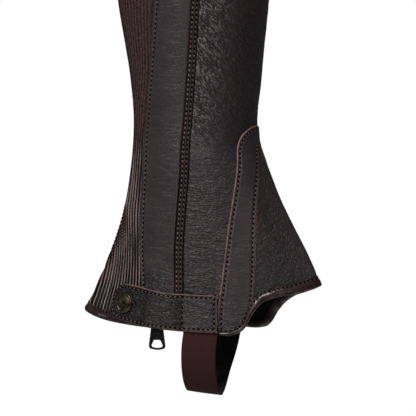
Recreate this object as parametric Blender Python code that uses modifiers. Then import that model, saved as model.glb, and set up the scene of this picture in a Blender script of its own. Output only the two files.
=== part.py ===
"""Half chap for the right leg, zipped and fastened, standing in the hollow shape of the leg and boot it is cut for.

Frame: +X to the toe, +Y to the other leg, -Y to the outer side with the zip and the snap tab, +Z up the leg.
The origin is on the leg's axis at the widest calf. Sizes below are in millimetres, and heights are measured
from the lowest point of the hem, until a point is placed.
"""

from math import atan2, pi

import bmesh
import bpy
import numpy as np
from mathutils import Matrix, Vector

MM = 0.001  # metres in a millimetre

# --- driving dimensions ------------------------------------------------------------------------------------------

TOP = 430.0  # height of the top edge, size medium
CALF = 330.0  # height of the widest calf, where the leg holds the chap
LEATHER = 1.3  # thickness of every cut piece of leather
SEAM_GAP = 0.3  # between pieces that meet edge to edge
FOLD_GAP = 0.9  # between a piece's raw edge and the binding folded over it
LIFT = 0.5  # between a piece and the one that it lies on
LAYER = LEATHER + LIFT  # from one layer of leather to the next

# The level sections of the hollow. Each is half an oval to the toe and half an oval to the heel. Roundness 2 is
# an ellipse, and nearer 1 the end closes to a fold, as the tongue does over the laces and the elastic at the heel.
SECTIONS = np.array([
    # height  to toe  to heel  half width  toe roundness  heel roundness
    (-20.0, 118.0, 96.0, 39.5, 1.10, 1.30),
    (20.0, 102.2, 84.0, 39.0, 1.10, 1.30),
    (40.0, 94.1, 73.8, 38.5, 1.15, 1.35),
    (60.0, 85.1, 65.4, 38.0, 1.25, 1.50),
    (80.0, 74.7, 57.8, 37.5, 1.40, 1.70),
    (100.0, 64.7, 51.8, 37.0, 1.60, 1.85),
    (122.0, 55.6, 47.7, 37.0, 1.80, 1.95),
    (140.0, 48.0, 45.9, 37.1, 1.90, 1.98),
    (157.0, 46.2, 45.1, 37.6, 2.00, 2.00),
    (190.0, 49.1, 47.6, 40.5, 2.00, 2.00),
    (250.0, 54.7, 57.2, 48.5, 2.00, 2.00),
    (330.0, 60.0, 65.0, 54.5, 2.00, 2.00),
    (430.0, 58.0, 61.0, 51.0, 2.00, 2.00),
])

# A place round the leg is its wrap: 0 at the middle of the toe side, 1 at the middle of the heel side, by the
# share of the half girth. Wrap is positive round the outer side and negative round the inner one.
HEM = np.array([
    # wrap  height of the lower edge on the outer side
    (0.00, 35.8), (0.10, 31.1), (0.20, 27.3), (0.245, 24.0), (0.285, 15.5), (0.32, 5.2), (0.36, 0.8),
    (0.42, 0.8), (0.53, 2.1), (0.64, 5.2), (0.72, 6.8), (0.86, 10.4), (0.95, 13.9), (1.00, 15.6),
])
INNER_HEM = np.array([
    # wrap on the inner side, without its sign  height of the lower edge
    (0.00, 35.8), (0.10, 31.1), (0.17, 27.7), (0.205, 24.6), (0.24, 20.0), (0.27, 14.8), (0.30, 7.6),
    (0.32, 4.2), (0.345, 2.9), (0.42, 2.9), (0.53, 3.4), (0.64, 5.4), (0.72, 6.8), (0.86, 10.4), (0.95, 13.9),
    (1.00, 15.6),
])

ZIP_SEAMS = np.array([
    # height  wrap of the cover strip's sewn edge  wrap of its free edge
    (0.0, 0.680, 0.550), (30.0, 0.697, 0.556), (60.0, 0.731, 0.560), (90.0, 0.7525, 0.5455),
    (120.0, 0.7555, 0.519), (150.0, 0.738, 0.487), (185.0, 0.688, 0.465), (220.0, 0.630, 0.441),
    (250.0, 0.592, 0.422), (330.0, 0.560, 0.400), (430.0, 0.552, 0.390),
])
INNER_SEAM = -0.80  # wrap where the main panel meets the elastic on the inner side
FACING = 6.5  # width of the stitched strip that faces the zip's front edge
FACING_TUCK = 2.0  # how far it reaches under the cover strip
ELASTIC_TUCK = 7.0  # how far the elastic reaches under the cover strip
CHAIN_SHARE = 0.44  # place of the zip's chain between the cover's free edge and its sewn edge
CHAIN_WIDTH = 5.6
CHAIN_THICK = 1.3
CHAIN_GAP = 1.9  # from the middle of the chain to the edge of each tape
TAPE_THICK = 0.7
TAPE_UNDER = 5.0  # how far each tape is sewn under the leather
TAPE_START, TAPE_END = 0.034, 0.985  # shares of the height where the tapes are cut, clear of the bindings
COVER_END = 20.0  # height where the cover strip stops, above the slider

# The reinforcement over the ankle is an arch. Both of its edges run from the hem up to the middle of the toe side.
ARCH_OUTER = np.array([
    # share of the way up  wrap  height
    (0.00, 0.404, 1.8), (0.16, 0.392, 26.0), (0.33, 0.364, 54.0), (0.48, 0.316, 80.0), (0.62, 0.263, 106.0),
    (0.74, 0.216, 128.0), (0.80, 0.192, 138.2), (0.88, 0.142, 148.4), (0.94, 0.076, 153.4), (1.00, 0.000, 155.2),
])
ARCH_INNER = np.array([
    # share of the way up  wrap  height
    (0.00, 0.285, 16.5), (0.16, 0.272, 32.0), (0.33, 0.242, 55.0), (0.48, 0.205, 77.0), (0.62, 0.153, 99.0),
    (0.74, 0.103, 117.0), (0.80, 0.075, 126.0), (0.88, 0.045, 134.0), (0.94, 0.020, 138.5), (1.00, 0.000, 140.0),
])
ARCH_EVEN = 1.15  # over 1, the arch's rows stand closer at its top
ARCH_SETTLE = 6  # how quickly the arch's rows level out to the hem's line at its feet
TONGUE_EDGE = np.array([
    # height  wrap of the seam between the tongue and the main panel
    (-20.0, 0.300), (20.0, 0.283), (55.0, 0.242), (77.0, 0.205), (99.0, 0.153), (117.0, 0.103), (128.0, 0.068),
    (140.0, 0.038), (150.0, 0.035), (160.0, 0.035), (430.0, 0.035),
])
TONGUE_TOP = 0.262  # share of the height, from hem to top, where the opening for the tongue ends

TAB_FRONT = 0.4078  # wrap of the snap tab's lower front corner, behind the end of the hem binding
TAB_BUTT = 0.6  # gap between the tab's front edge and the ankle reinforcement
TAB_BUTT_HEIGHTS = (5.0, 7.5)  # from below to above these heights the front edge draws up to the reinforcement
TAB_BUTT_REACH = 0.10  # wrap over which the tab is drawn forward with it
TAB_BACK = 0.815  # wrap of its rounded free end
TAB_EDGES = np.array([
    # wrap  height of the lower edge  height of the upper edge
    (0.400, 2.0, 29.6), (0.47, 2.6, 30.0), (0.53, 3.2, 30.6), (0.59, 4.4, 31.4), (0.65, 5.8, 33.4),
    (0.72, 8.6, 36.0), (0.77, 10.8, 36.9), (0.83, 13.0, 36.6),
])
TAB_ROUND = 0.045  # wrap over which its free end is rounded
TAB_BLUNT = 0.93  # below 1, its free end keeps a short straight edge
TAB_EVEN = 1.15  # over 1, the tab's columns stand closer at its free end
TAB_LEVELS = np.array([
    # wrap  height of the tab's back above the hollow: sewn down, over the slider, a dip, over the snap
    (0.400, 3.0), (0.520, 3.0), (0.548, 3.6), (0.580, 5.2), (0.635, 5.2), (0.668, 3.9), (0.690, 3.6),
    (0.715, 4.3), (0.770, 4.3), (0.800, 3.4), (0.830, 2.6),
])

SNAP_WRAP, SNAP_HEIGHT = 0.742, 22.7
SNAP_RADIUS = 7.6
SNAP_CAP = np.array([
    # radius  height: from the middle of the dome over the rim to the back
    (0.0, 3.1), (2.6, 2.95), (4.9, 2.4), (6.3, 1.6), (6.7, 1.2), (7.2, 1.2), (SNAP_RADIUS, 0.8),
    (SNAP_RADIUS, 0.3), (7.1, 0.0), (0.0, 0.0),
])
SNAP_SOCKET = np.array([(0.0, 0.9), (5.2, 0.9), (5.2, 0.0), (0.0, 0.0)])
SNAP_STUD = np.array([(0.0, 0.9), (2.6, 0.9), (2.6, 0.6), (5.4, 0.6), (5.4, 0.0), (0.0, 0.0)])
SNAP_SIDES = 24

PULL_WRAP = 0.6128  # the slider and the pull hang here
HINGE_HEIGHT = 10.0  # axis of the pull in the slider's bail
HINGE_LEVEL = 3.35  # how far the axis is out of the hollow

# The slider is measured from the pull's axis: x along the hem to the toe, y into the leg, z up.
SLIDER_PLATE = (8.6, 1.0, 11.0)  # each of its two plates
SLIDER_MIDDLE = 2.6  # height of the plates' middle
SLIDER_OUTER = HINGE_LEVEL - 2.6  # depth of the outer plate's face, just out of the leather
SLIDER_INNER = HINGE_LEVEL + 1.4  # depth of the inner plate's face, behind the chain
SLIDER_POST = (2.4, 2.6, 2.2)  # width and height of the post, and how far its middle is below the plates' top
BAIL = (1.6, 0.8)  # width and thickness of the bar that the pull hangs on
BAIL_OUTER = -1.45  # depth of its outer face
BAIL_ENDS = (-2.1, 6.7)  # its lower and upper end
BAIL_FOOT = 1.1  # height of each of its feet
OVERLAP = 0.4  # how far a foot or the post reaches into a plate

PULL_DROP = 20.9  # from the axis to the pull's lower edge
PULL_THICK = 0.9
PULL_TOP = 0.6  # how far its head reaches over the axis
PULL_HALVES = (4.2, 6.8)  # half width of its head and of its foot
PULL_CORNER = 2.2  # the cut corners of its foot
PULL_WINDOW = np.array([
    # half width  height over the lower edge
    (3.1, 7.3), (4.9, 3.0), (4.1, 1.7),
])
PULL_SLOT = (1.3, 4.2)  # half width of the slot for the bail, and how far down it reaches

STRAP_WRAPS = (0.5230, 0.4100)  # rear and front edge where the tab holds the strap
STRAP_FAR_WRAPS = (-0.526, -0.413)  # the same where it is sewn inside the inner wall
STRAP_THICK = 1.0
STRAP_OUTER_LEVEL = LEATHER + SEAM_GAP  # the strap's back under the tab
STRAP_INNER_LEVEL = -2.6  # the same inside the inner wall, clear of the binding
STRAP_SEWN = 22.0  # height to which the strap is sewn under the tab and inside the inner wall
STRAP_LOOP = np.array([
    # share of the path  way across from the outer to the inner wall  drop below the hem
    (0.00, 0.000, 0.0), (0.10, -0.046, 9.0), (0.19, -0.058, 19.0), (0.28, -0.032, 29.5), (0.36, 0.032, 38.0),
    (0.42, 0.112, 43.2), (0.48, 0.200, 44.8), (0.54, 0.285, 42.8), (0.70, 0.540, 28.5), (0.86, 0.805, 14.0),
    (1.00, 0.985, 0.0),
])
STRAP_SKEW = 0.022  # share by which the front edge of the loop is longer, and its rear edge shorter

BINDING = 0.7  # thickness of the binding
BINDING_HEIGHTS = np.array([
    # wrap round the outer side, unrolled past the heel to the inner one  height of the binding over the edge
    (-0.50, 4.0), (0.50, 4.0), (0.66, 7.0), (1.25, 7.0), (1.34, 4.0), (1.70, 4.0),
])
BINDING_FOLD = np.array([
    # share of the section  way out from the inner face to the outer  share of its height  lift of the fold's corners
    (0.00, 0.0, 1.0, 0.0), (0.25, 0.0, 0.0, 0.2), (0.50, 0.5, 0.0, 0.0), (0.75, 1.0, 0.0, 0.2), (1.00, 1.0, 1.0, 0.0),
])
HEM_BINDING_STATIONS = np.array([
    # station  wrap: from the zip round the heel, inner side and toe to the ankle reinforcement
    (0, -1.335), (10, -1.0), (24, -0.42), (34, -0.24), (40, 0.0), (46, 0.24), (55, 0.405),
])
TOP_BINDING_STATIONS = np.array([
    # station  wrap: from the zip's back edge round the leg to its front edge
    (0, -1.440), (10, -1.0), (28, 0.0), (35, 0.385),
])
ARCH_LIFT = np.array([
    # wrap  how far the binding stands out of the hollow: over the tongue, then over the reinforcement
    (0.00, 1.6), (0.04, 1.8), (0.240, 1.8), (0.265, 3.5), (0.420, 3.5), (0.445, 1.8), (1.00, 1.8),
])

COLOURS = {
    # linear RGB, roughness, metallic
    "leather": ((0.030, 0.026, 0.026), 0.45, 0.0),
    "smooth_leather": ((0.038, 0.032, 0.032), 0.40, 0.0),
    "elastic": ((0.058, 0.040, 0.038), 0.55, 0.0),
    "binding": ((0.040, 0.026, 0.026), 0.30, 0.0),
    "webbing": ((0.026, 0.011, 0.011), 0.85, 0.0),
    "zip_tape": ((0.010, 0.009, 0.009), 0.85, 0.0),
    "zip_metal": ((0.012, 0.012, 0.012), 0.40, 0.6),
    "antique_brass": ((0.090, 0.075, 0.045), 0.35, 0.9),
}


# --- tables, the hollow and places on it -------------------------------------------------------------------------

def smooth_table(at, table):
    """Read a table's other columns at values of its first one, on a smooth curve through the rows."""
    keys, rows = table[:, 0], table[:, 1:]
    slopes = np.gradient(rows, keys, axis=0)
    at = np.clip(np.asarray(at, float), keys[0], keys[-1])
    low = np.clip(np.searchsorted(keys, at) - 1, 0, len(keys) - 2)
    span = keys[low + 1] - keys[low]
    t = ((at - keys[low]) / span)[..., None]
    rise = rows[low + 1] - rows[low]
    slope_low = slopes[low] * span[..., None]
    slope_high = slopes[low + 1] * span[..., None]
    return (rows[low] + t * slope_low + t**2 * (3 * rise - 2 * slope_low - slope_high)
            + t**3 * (slope_low + slope_high - 2 * rise))


def read_line(at, table, column=1):
    """Read one column of a table on straight lines between the rows."""
    return np.interp(at, table[:, 0], table[:, column])


def oval(turn, height):
    """Points of the level sections: turn is 0 at the toe and pi at the heel, y is half the width there."""
    to_toe, to_heel, half_width, toe_round, heel_round = smooth_table(height, SECTIONS).T
    cosine, sine = np.cos(turn), np.abs(np.sin(turn))
    ahead = cosine >= 0
    x = np.where(ahead, to_toe, to_heel) * cosine
    y = half_width * sine ** (2.0 / np.where(ahead, toe_round, heel_round))
    return x, y


TURNS = np.linspace(0.0, pi, 73)


def run_of_section(height):
    """Length of each level section from the toe to every one of TURNS."""
    turn, level = np.meshgrid(TURNS, height)
    x, y = oval(turn.ravel(), level.ravel())
    x, y = x.reshape(turn.shape), y.reshape(turn.shape)
    steps = np.hypot(np.diff(x, axis=1), np.diff(y, axis=1))
    return np.concatenate([np.zeros((len(height), 1)), np.cumsum(steps, axis=1)], axis=1)


def half_girth(height):
    """Length of a level section from the middle of the toe side to the middle of the heel side."""
    return run_of_section(np.atleast_1d(np.asarray(height, float)))[:, -1]


def hollow(wrap, height):
    """Points on the hollow, without thickness."""
    wrap = (wrap + 1.0) % 2.0 - 1.0
    run = run_of_section(height)
    goal = np.abs(wrap) * run[:, -1]
    low = np.clip((run < goal[:, None]).sum(axis=1) - 1, 0, len(TURNS) - 2)
    rows = np.arange(len(height))
    share = (goal - run[rows, low]) / np.maximum(run[rows, low + 1] - run[rows, low], 1e-9)
    x, y = oval(TURNS[low] + share * (TURNS[1] - TURNS[0]), height)
    return np.stack([x, np.where(wrap < 0, y, -y), height], axis=1)


def on_leg(wrap, height, out):
    """Points at a distance out of the hollow, square to it, and further out on a fold, as a mitre is."""
    wrap, height, out = (np.atleast_1d(np.asarray(a, float)).ravel() for a in (wrap, height, out))
    wrap, height, out = np.broadcast_arrays(wrap, height, out)
    round_step = 2.5 / half_girth(height)
    up_step = 0.5
    here = hollow(wrap, height)
    up = hollow(wrap, height + up_step) - hollow(wrap, height - up_step)
    before = np.cross(up, here - hollow(wrap - round_step, height))
    after = np.cross(up, hollow(wrap + round_step, height) - here)
    before /= np.linalg.norm(before, axis=1)[:, None]
    after /= np.linalg.norm(after, axis=1)[:, None]
    outward = before + after
    outward /= np.linalg.norm(outward, axis=1)[:, None]
    mitre = 1.0 / np.maximum((outward * after).sum(axis=1), 0.3)
    return here + outward * (out * mitre)[:, None]


def hem_height(wrap):
    """Height of the lower edge at a wrap."""
    wrap = (np.asarray(wrap, float) + 1.0) % 2.0 - 1.0
    outer, inner = (smooth_table(np.abs(wrap), table)[..., 0] for table in (HEM, INNER_HEM))
    return np.where(wrap < 0.0, inner, outer)


def steepness(wrap):
    """Height that a band along the lower edge takes for each millimetre of its width."""
    half_step = 0.01
    rise = hem_height(wrap + half_step) - hem_height(wrap - half_step)
    return np.hypot(1.0, rise / (2.0 * half_step * half_girth(hem_height(wrap))))


def lowest(wrap):
    """Height where the pieces start, clear of the binding's fold."""
    return hem_height(wrap) + (BINDING + FOLD_GAP) * steepness(wrap)


def climb(share, wrap):
    """Height of a point that is this share of the way from the hem to the top."""
    low = lowest(wrap)
    return low + share * (TOP - BINDING - FOLD_GAP - low)


def settle(share, wrap_at):
    """Wrap and height of points whose wrap depends on their height and whose height depends on their wrap."""
    height = share * TOP
    for _ in range(6):
        wrap = wrap_at(height)
        height = climb(share, wrap)
    return wrap, height


def cover_edges(height):
    """Wraps of the cover strip's sewn edge and of its free edge."""
    edges = smooth_table(height, ZIP_SEAMS)
    return edges[..., 0], edges[..., 1]


def tongue_edge(height):
    """Wrap of the tongue's seam."""
    return smooth_table(height, TONGUE_EDGE)[..., 0]


# --- building tools ----------------------------------------------------------------------------------------------

def clear_scene():
    for old in list(bpy.data.objects):
        bpy.data.objects.remove(old, do_unlink=True)


def collection(name):
    made = bpy.data.collections.new(name)
    bpy.context.scene.collection.children.link(made)
    return made


def material(name):
    """The Principled material of a finish, made once."""
    found = bpy.data.materials.get(name)
    if found:
        return found
    colour, roughness, metallic = COLOURS[name]
    made = bpy.data.materials.new(name)
    made.use_nodes = True
    shader = made.node_tree.nodes["Principled BSDF"]
    shader.inputs["Base Color"].default_value = (*colour, 1.0)
    shader.inputs["Roughness"].default_value = roughness
    shader.inputs["Metallic"].default_value = metallic
    return made


def take(made, name, finish):
    """Name an object, give it its finish and put it among the chap's pieces."""
    made.name = name
    made.data.name = name
    made.data.materials.clear()
    made.data.materials.append(material(finish))
    for group in list(made.users_collection):
        group.objects.unlink(made)
    PIECES.objects.link(made)
    return made


def sheet(name, finish, columns, rows, place, thickness=LEATHER, drop=None):
    """A cut piece: a grid of columns by rows laid on the leg by place(across, up), then given its thickness.

    across and up run from 0 to 1. place returns points in millimetres. drop(across, up), where given, says
    which faces to cut away, by their middles.
    """
    bpy.ops.mesh.primitive_grid_add(x_subdivisions=columns, y_subdivisions=rows, size=1.0)
    made = bpy.context.object
    count = len(made.data.vertices)
    flat = np.empty(count * 3)
    made.data.vertices.foreach_get("co", flat)
    flat = flat.reshape(count, 3) + 0.5
    if drop is not None:
        mesh = bmesh.new()
        mesh.from_mesh(made.data)
        cut = [f for f in mesh.faces if drop(f.calc_center_median().x + 0.5, f.calc_center_median().y + 0.5)]
        bmesh.ops.delete(mesh, geom=cut, context="FACES")
        mesh.to_mesh(made.data)
        mesh.free()
        count = len(made.data.vertices)
        flat = np.empty(count * 3)
        made.data.vertices.foreach_get("co", flat)
        flat = flat.reshape(count, 3) + 0.5
    points = place(flat[:, 0], flat[:, 1])
    points[:, 2] -= CALF
    made.data.vertices.foreach_set("co", (points * MM).ravel())
    made.data.update()
    wall = made.modifiers.new("thickness", "SOLIDIFY")
    wall.thickness = thickness * MM
    wall.offset = 1.0
    wall.use_even_offset = True
    made.data.shade_smooth()
    return take(made, name, finish)


def lerp(low, high, share):
    return low + (high - low) * share


LONG_ROWS = np.array([
    # row of a long piece  share of its height: close rows to the top of the tongue and through the ankle
    (0, 0.0), (11, TONGUE_TOP), (20, 0.45), (26, 1.0),
])
TONGUE_ROWS, ROWS = int(LONG_ROWS[1, 0]), int(LONG_ROWS[-1, 0])


def row_share(up, start=0.0, end=1.0):
    """Share of the height of a long piece's rows, which all long pieces have alike, between two shares."""
    return lerp(start, end, read_line(up * ROWS, LONG_ROWS))


# --- leather panels ----------------------------------------------------------------------------------------------

def make_main_panel():
    """The front of the leg, from the zip round the toe side to the elastic, open below for the tongue."""
    outer_columns, middle_columns, inner_columns = 8, 2, 13
    columns = outer_columns + middle_columns + inner_columns
    knots = np.array([0.0, outer_columns, outer_columns + middle_columns, columns]) / columns

    def place(across, up):
        share = row_share(up)

        def wrap_at(height):
            free = cover_edges(height)[1]
            girth = half_girth(height)
            edge = tongue_edge(height) + SEAM_GAP / girth
            lines = [free - (FACING + SEAM_GAP) / girth, edge, -edge, np.full_like(height, INNER_SEAM)]
            wrap = np.empty_like(height)
            for k in range(3):
                inside = (across >= knots[k] - 1e-6) & (across <= knots[k + 1] + 1e-6)
                part = (across - knots[k]) / (knots[k + 1] - knots[k])
                wrap = np.where(inside, lerp(lines[k], lines[k + 1], part), wrap)
            return wrap

        wrap, height = settle(share, wrap_at)
        return on_leg(wrap, height, 0.0)

    def drop(across, up):
        return knots[1] < across < knots[2] and row_share(up) < TONGUE_TOP

    return sheet("main_panel", "leather", columns, ROWS, place, drop=drop)


def make_tongue():
    """The flared gusset over the instep, folded along its middle, in the main panel's opening."""
    def place(across, up):
        def wrap_at(height):
            return lerp(1.0, -1.0, across) * tongue_edge(height)
        wrap, height = settle(up * (TONGUE_TOP - 2.0 * SEAM_GAP / TOP), wrap_at)
        return on_leg(wrap, height, 0.0)

    return sheet("tongue", "leather", 14, TONGUE_ROWS, place)


def make_elastic_panel():
    """The pleated stretch panel at the back, from under the cover strip round the heel to the inner seam."""
    inner_columns, outer_columns = 5, 9
    columns = inner_columns + outer_columns
    heel = inner_columns / columns

    def place(across, up):
        def wrap_at(height):
            front = cover_edges(height)[0] - ELASTIC_TUCK / half_girth(height)
            inner = 2.0 + INNER_SEAM - SEAM_GAP / half_girth(height)
            inner_part = lerp(inner, 1.0, across / heel)
            outer_part = lerp(1.0, front, (across - heel) / (1.0 - heel))
            return np.where(across < heel, inner_part, outer_part)
        wrap, height = settle(row_share(up), wrap_at)
        return on_leg(wrap, height, 0.0)

    return sheet("elastic_panel", "elastic", columns, ROWS, place)


def make_zip_facing():
    """The narrow strip, stitched twice, that faces the front edge of the zip."""
    def place(across, up):
        def wrap_at(height):
            girth = half_girth(height)
            free = cover_edges(height)[1]
            return lerp(free + FACING_TUCK / girth, free - FACING / girth, across)
        wrap, height = settle(row_share(up), wrap_at)
        return on_leg(wrap, height, 0.0)

    return sheet("zip_facing", "smooth_leather", 2, ROWS, place)


def make_zip_cover():
    """The smooth strip sewn along its back edge that covers the zip. It stops above the slider."""
    start = COVER_END / TOP

    def place(across, up):
        def wrap_at(height):
            sewn, free = cover_edges(height)
            return lerp(sewn, free, across)
        wrap, height = settle(row_share(up, start), wrap_at)
        return on_leg(wrap, height, LAYER)

    return sheet("zip_cover", "smooth_leather", 4, ROWS, place)


def make_ankle_overlay():
    """The smooth reinforcement: an arch over the ankle, its legs beside the tongue down to the hem."""
    def place(across, up):
        side = np.where(up < 0.5, 1.0, -1.0)
        share = 1.0 - np.abs(2.0 * up - 1.0) ** ARCH_EVEN
        outer = smooth_table(share, ARCH_OUTER)
        inner = smooth_table(share, ARCH_INNER)
        wrap, height = lerp(outer, inner, across[:, None]).T
        clear = lowest(side * wrap)
        low = (1.0 - share) ** ARCH_SETTLE
        height = lerp(np.maximum(height, clear), clear, low)
        return on_leg(side * wrap, height, LAYER)

    return sheet("ankle_overlay", "smooth_leather", 3, 44, place)


# --- zip ---------------------------------------------------------------------------------------------------------

def chain_wrap(height):
    sewn, free = cover_edges(height)
    return lerp(free, sewn, CHAIN_SHARE)


ZIP_LEVEL = -TAPE_THICK - LIFT  # the tapes lie inside the leather


def make_zip_tapes():
    """The two woven tapes, each sewn under the leather beside the chain."""
    def rear(height):
        girth = half_girth(height)
        leather = cover_edges(height)[0] - ELASTIC_TUCK / girth
        return leather + TAPE_UNDER / girth, chain_wrap(height) + CHAIN_GAP / girth

    def front(height):
        girth = half_girth(height)
        leather = cover_edges(height)[1] + FACING_TUCK / girth
        return chain_wrap(height) - CHAIN_GAP / girth, leather - TAPE_UNDER / girth

    for name, edges in (("zip_tape_rear", rear), ("zip_tape_front", front)):
        def place(across, up, edges=edges):
            def wrap_at(height):
                back, ahead = edges(height)
                return lerp(back, ahead, across)
            wrap, height = settle(row_share(up, TAPE_START, TAPE_END), wrap_at)
            return on_leg(wrap, height, ZIP_LEVEL)
        sheet(name, "zip_tape", 2, ROWS, place, thickness=TAPE_THICK)


def make_zip_chain():
    """The closed coil, as one bar over the tapes' edges. It ends above the slider."""
    start = (COVER_END + 0.5) / TOP

    def place(across, up):
        def wrap_at(height):
            half = 0.5 * CHAIN_WIDTH / half_girth(height)
            return chain_wrap(height) + lerp(half, -half, across)
        wrap, height = settle(row_share(up, start), wrap_at)
        return on_leg(wrap, height, 0.0)

    return sheet("zip_chain", "zip_metal", 1, ROWS, place, thickness=CHAIN_THICK)


def box(size, centre):
    """A box in the slider's own frame: x along the hem to the toe, y into the leg, z up."""
    bpy.ops.mesh.primitive_cube_add(size=1.0)
    made = bpy.context.object
    made.data.transform(Matrix.Translation(centre) @ Matrix.Diagonal((*size, 1.0)))
    return made


def join_solids(base, others):
    """Unite bodies into one, and remove the ones that went in."""
    for other in others:
        union = base.modifiers.new("join", "BOOLEAN")
        union.operation = "UNION"
        union.solver = "EXACT"
        union.object = other
    bpy.context.view_layer.update()
    mesh = bpy.data.meshes.new_from_object(base.evaluated_get(bpy.context.evaluated_depsgraph_get()))
    made = bpy.data.objects.new(base.name, mesh)
    bpy.context.scene.collection.objects.link(made)
    for used in [base, *others]:
        bpy.data.objects.remove(used, do_unlink=True)
    return made


def slider_place():
    """Where the slider's frame stands: its matrix, with x along the hem, y into the leg and z up, at the hinge."""
    point = Vector(on_leg(PULL_WRAP, HINGE_HEIGHT, HINGE_LEVEL)[0])
    inner = Vector(on_leg(PULL_WRAP, HINGE_HEIGHT, 0.0)[0])
    into = (inner - point)
    into.z = 0.0
    angle = atan2(into.y, into.x) - pi / 2
    point.z -= CALF
    return Matrix.Translation(point * MM) @ Matrix.Rotation(angle, 4, "Z")


def make_zip_slider():
    """Two plates round the chain, the post between them, and the bail that carries the pull."""
    wide, plate, tall = SLIDER_PLATE
    outer, inner = (box(SLIDER_PLATE, (0.0, face + plate / 2, SLIDER_MIDDLE)) for face in (SLIDER_OUTER, SLIDER_INNER))
    post_wide, post_tall, post_down = SLIDER_POST
    post_middle = (SLIDER_INNER + SLIDER_OUTER + OVERLAP) / 2
    post = box((post_wide, SLIDER_INNER - SLIDER_OUTER, post_tall),
               (0.0, post_middle, SLIDER_MIDDLE + tall / 2 - post_down))
    bail_wide, bail_thick = BAIL
    low, high = BAIL_ENDS
    bar = box((bail_wide, bail_thick, high - low), (0.0, BAIL_OUTER + bail_thick / 2, (low + high) / 2))
    foot_deep = SLIDER_OUTER - BAIL_OUTER + OVERLAP
    feet = [box((bail_wide, foot_deep, BAIL_FOOT), (0.0, BAIL_OUTER + foot_deep / 2, height))
            for height in (low + BAIL_FOOT / 2, high - BAIL_FOOT / 2)]
    made = join_solids(outer, [inner, post, bar, *feet])
    made.data.transform(Matrix.Scale(MM, 4))
    made.matrix_world = slider_place()
    return take(made, "zip_slider", "zip_metal")


def mirrored(right):
    """A closed ring from its right half, which is given from below to above."""
    return [(-x, z) for x, z in right[::-1]] + right


def make_zip_pull():
    """The flared tab on the bail, with its window. Its origin is on the hinge."""
    head, foot = PULL_HALVES
    right = [(foot - PULL_CORNER, -PULL_DROP), (foot, -PULL_DROP + PULL_CORNER), (head, PULL_TOP)]
    slot_half, slot_low = PULL_SLOT
    outline = mirrored(right)
    window = mirrored([(half, -PULL_DROP + up) for half, up in PULL_WINDOW[::-1]])
    slot = mirrored([(slot_half, -slot_low), (slot_half, -PULL_TOP)])
    curve = bpy.data.curves.new("pull", "CURVE")
    curve.dimensions = "2D"
    curve.fill_mode = "BOTH"
    curve.extrude = PULL_THICK / 2
    for ring in (outline, window, slot):
        line = curve.splines.new("POLY")
        line.points.add(len(ring) - 1)
        for point, (x, z) in zip(line.points, ring):
            point.co = (x, z, 0.0, 1.0)
        line.use_cyclic_u = True
    flat = bpy.data.objects.new("pull", curve)
    bpy.context.scene.collection.objects.link(flat)
    bpy.context.view_layer.update()
    mesh = bpy.data.meshes.new_from_object(flat.evaluated_get(bpy.context.evaluated_depsgraph_get()))
    bpy.data.objects.remove(flat, do_unlink=True)
    whole = bmesh.new()
    whole.from_mesh(mesh)
    bmesh.ops.remove_doubles(whole, verts=whole.verts, dist=1e-4)
    whole.transform(Matrix.Scale(MM, 4) @ Matrix.Rotation(pi / 2, 4, "X"))
    bmesh.ops.recalc_face_normals(whole, faces=whole.faces)
    whole.to_mesh(mesh)
    whole.free()
    made = bpy.data.objects.new("zip_pull", mesh)
    bpy.context.scene.collection.objects.link(made)
    made.matrix_world = slider_place()
    return take(made, "zip_pull", "zip_metal")


# --- snap tab, strap and bindings --------------------------------------------------------------------------------

def drawn_forward(wrap, height):
    """How far the tab's wraps move so that its front edge follows the ankle reinforcement's edge."""
    beside = np.interp(height, ARCH_OUTER[:, 2], ARCH_OUTER[:, 1]) + TAB_BUTT / half_girth(height)
    rise = np.clip((height - TAB_BUTT_HEIGHTS[0]) / (TAB_BUTT_HEIGHTS[1] - TAB_BUTT_HEIGHTS[0]), 0.0, 1.0)
    near = np.clip(1.0 - (wrap - TAB_FRONT) / TAB_BUTT_REACH, 0.0, 1.0)
    return near * rise * (beside - TAB_FRONT)


def make_snap_tab():
    """The tab sewn down beside the reinforcement, over the strap's end, and snapped over the zip's lower end."""
    def place(across, up):
        wrap = lerp(TAB_BACK, TAB_FRONT, across)
        edges = smooth_table(wrap, TAB_EDGES)
        low, high = edges[:, 0], edges[:, 1]
        into_end = np.clip(1.0 - (TAB_BACK - wrap) / TAB_ROUND, 0.0, 1.0)
        narrow = 1.0 - np.sqrt(1.0 - into_end**2 * TAB_BLUNT)
        middle, half = (low + high) / 2, (high - low) / 2
        height = middle + (2.0 * up - 1.0) * half * (1.0 - narrow)
        return on_leg(wrap + drawn_forward(wrap, height), height, read_line(wrap, TAB_LEVELS))

    def packed(across, up):
        return place(1.0 - (1.0 - across) ** TAB_EVEN, up)

    return sheet("snap_tab", "leather", 24, 4, packed)


def turned(name, finish, profile, level):
    """A round piece of the snap: a profile of (radius, height) turned on the snap's axis, standing on a level."""
    mesh = bpy.data.meshes.new(name)
    points = [(radius * MM, 0.0, height * MM) for radius, height in profile]
    mesh.from_pydata(points, [(k, k + 1) for k in range(len(points) - 1)], [])
    made = bpy.data.objects.new(name, mesh)
    bpy.context.scene.collection.objects.link(made)
    spin = made.modifiers.new("turn", "SCREW")
    spin.steps = spin.render_steps = SNAP_SIDES
    spin.use_merge_vertices = True
    spin.merge_threshold = 1e-5
    spin.use_smooth_shade = True
    foot = Vector(on_leg(SNAP_WRAP, SNAP_HEIGHT, level)[0])
    above = Vector(on_leg(SNAP_WRAP, SNAP_HEIGHT, level + 1.0)[0])
    turn = (above - foot).to_track_quat("Z", "Y").to_matrix().to_4x4()
    foot.z -= CALF
    made.matrix_world = Matrix.Translation(foot * MM) @ turn
    return take(made, name, finish)


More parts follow.
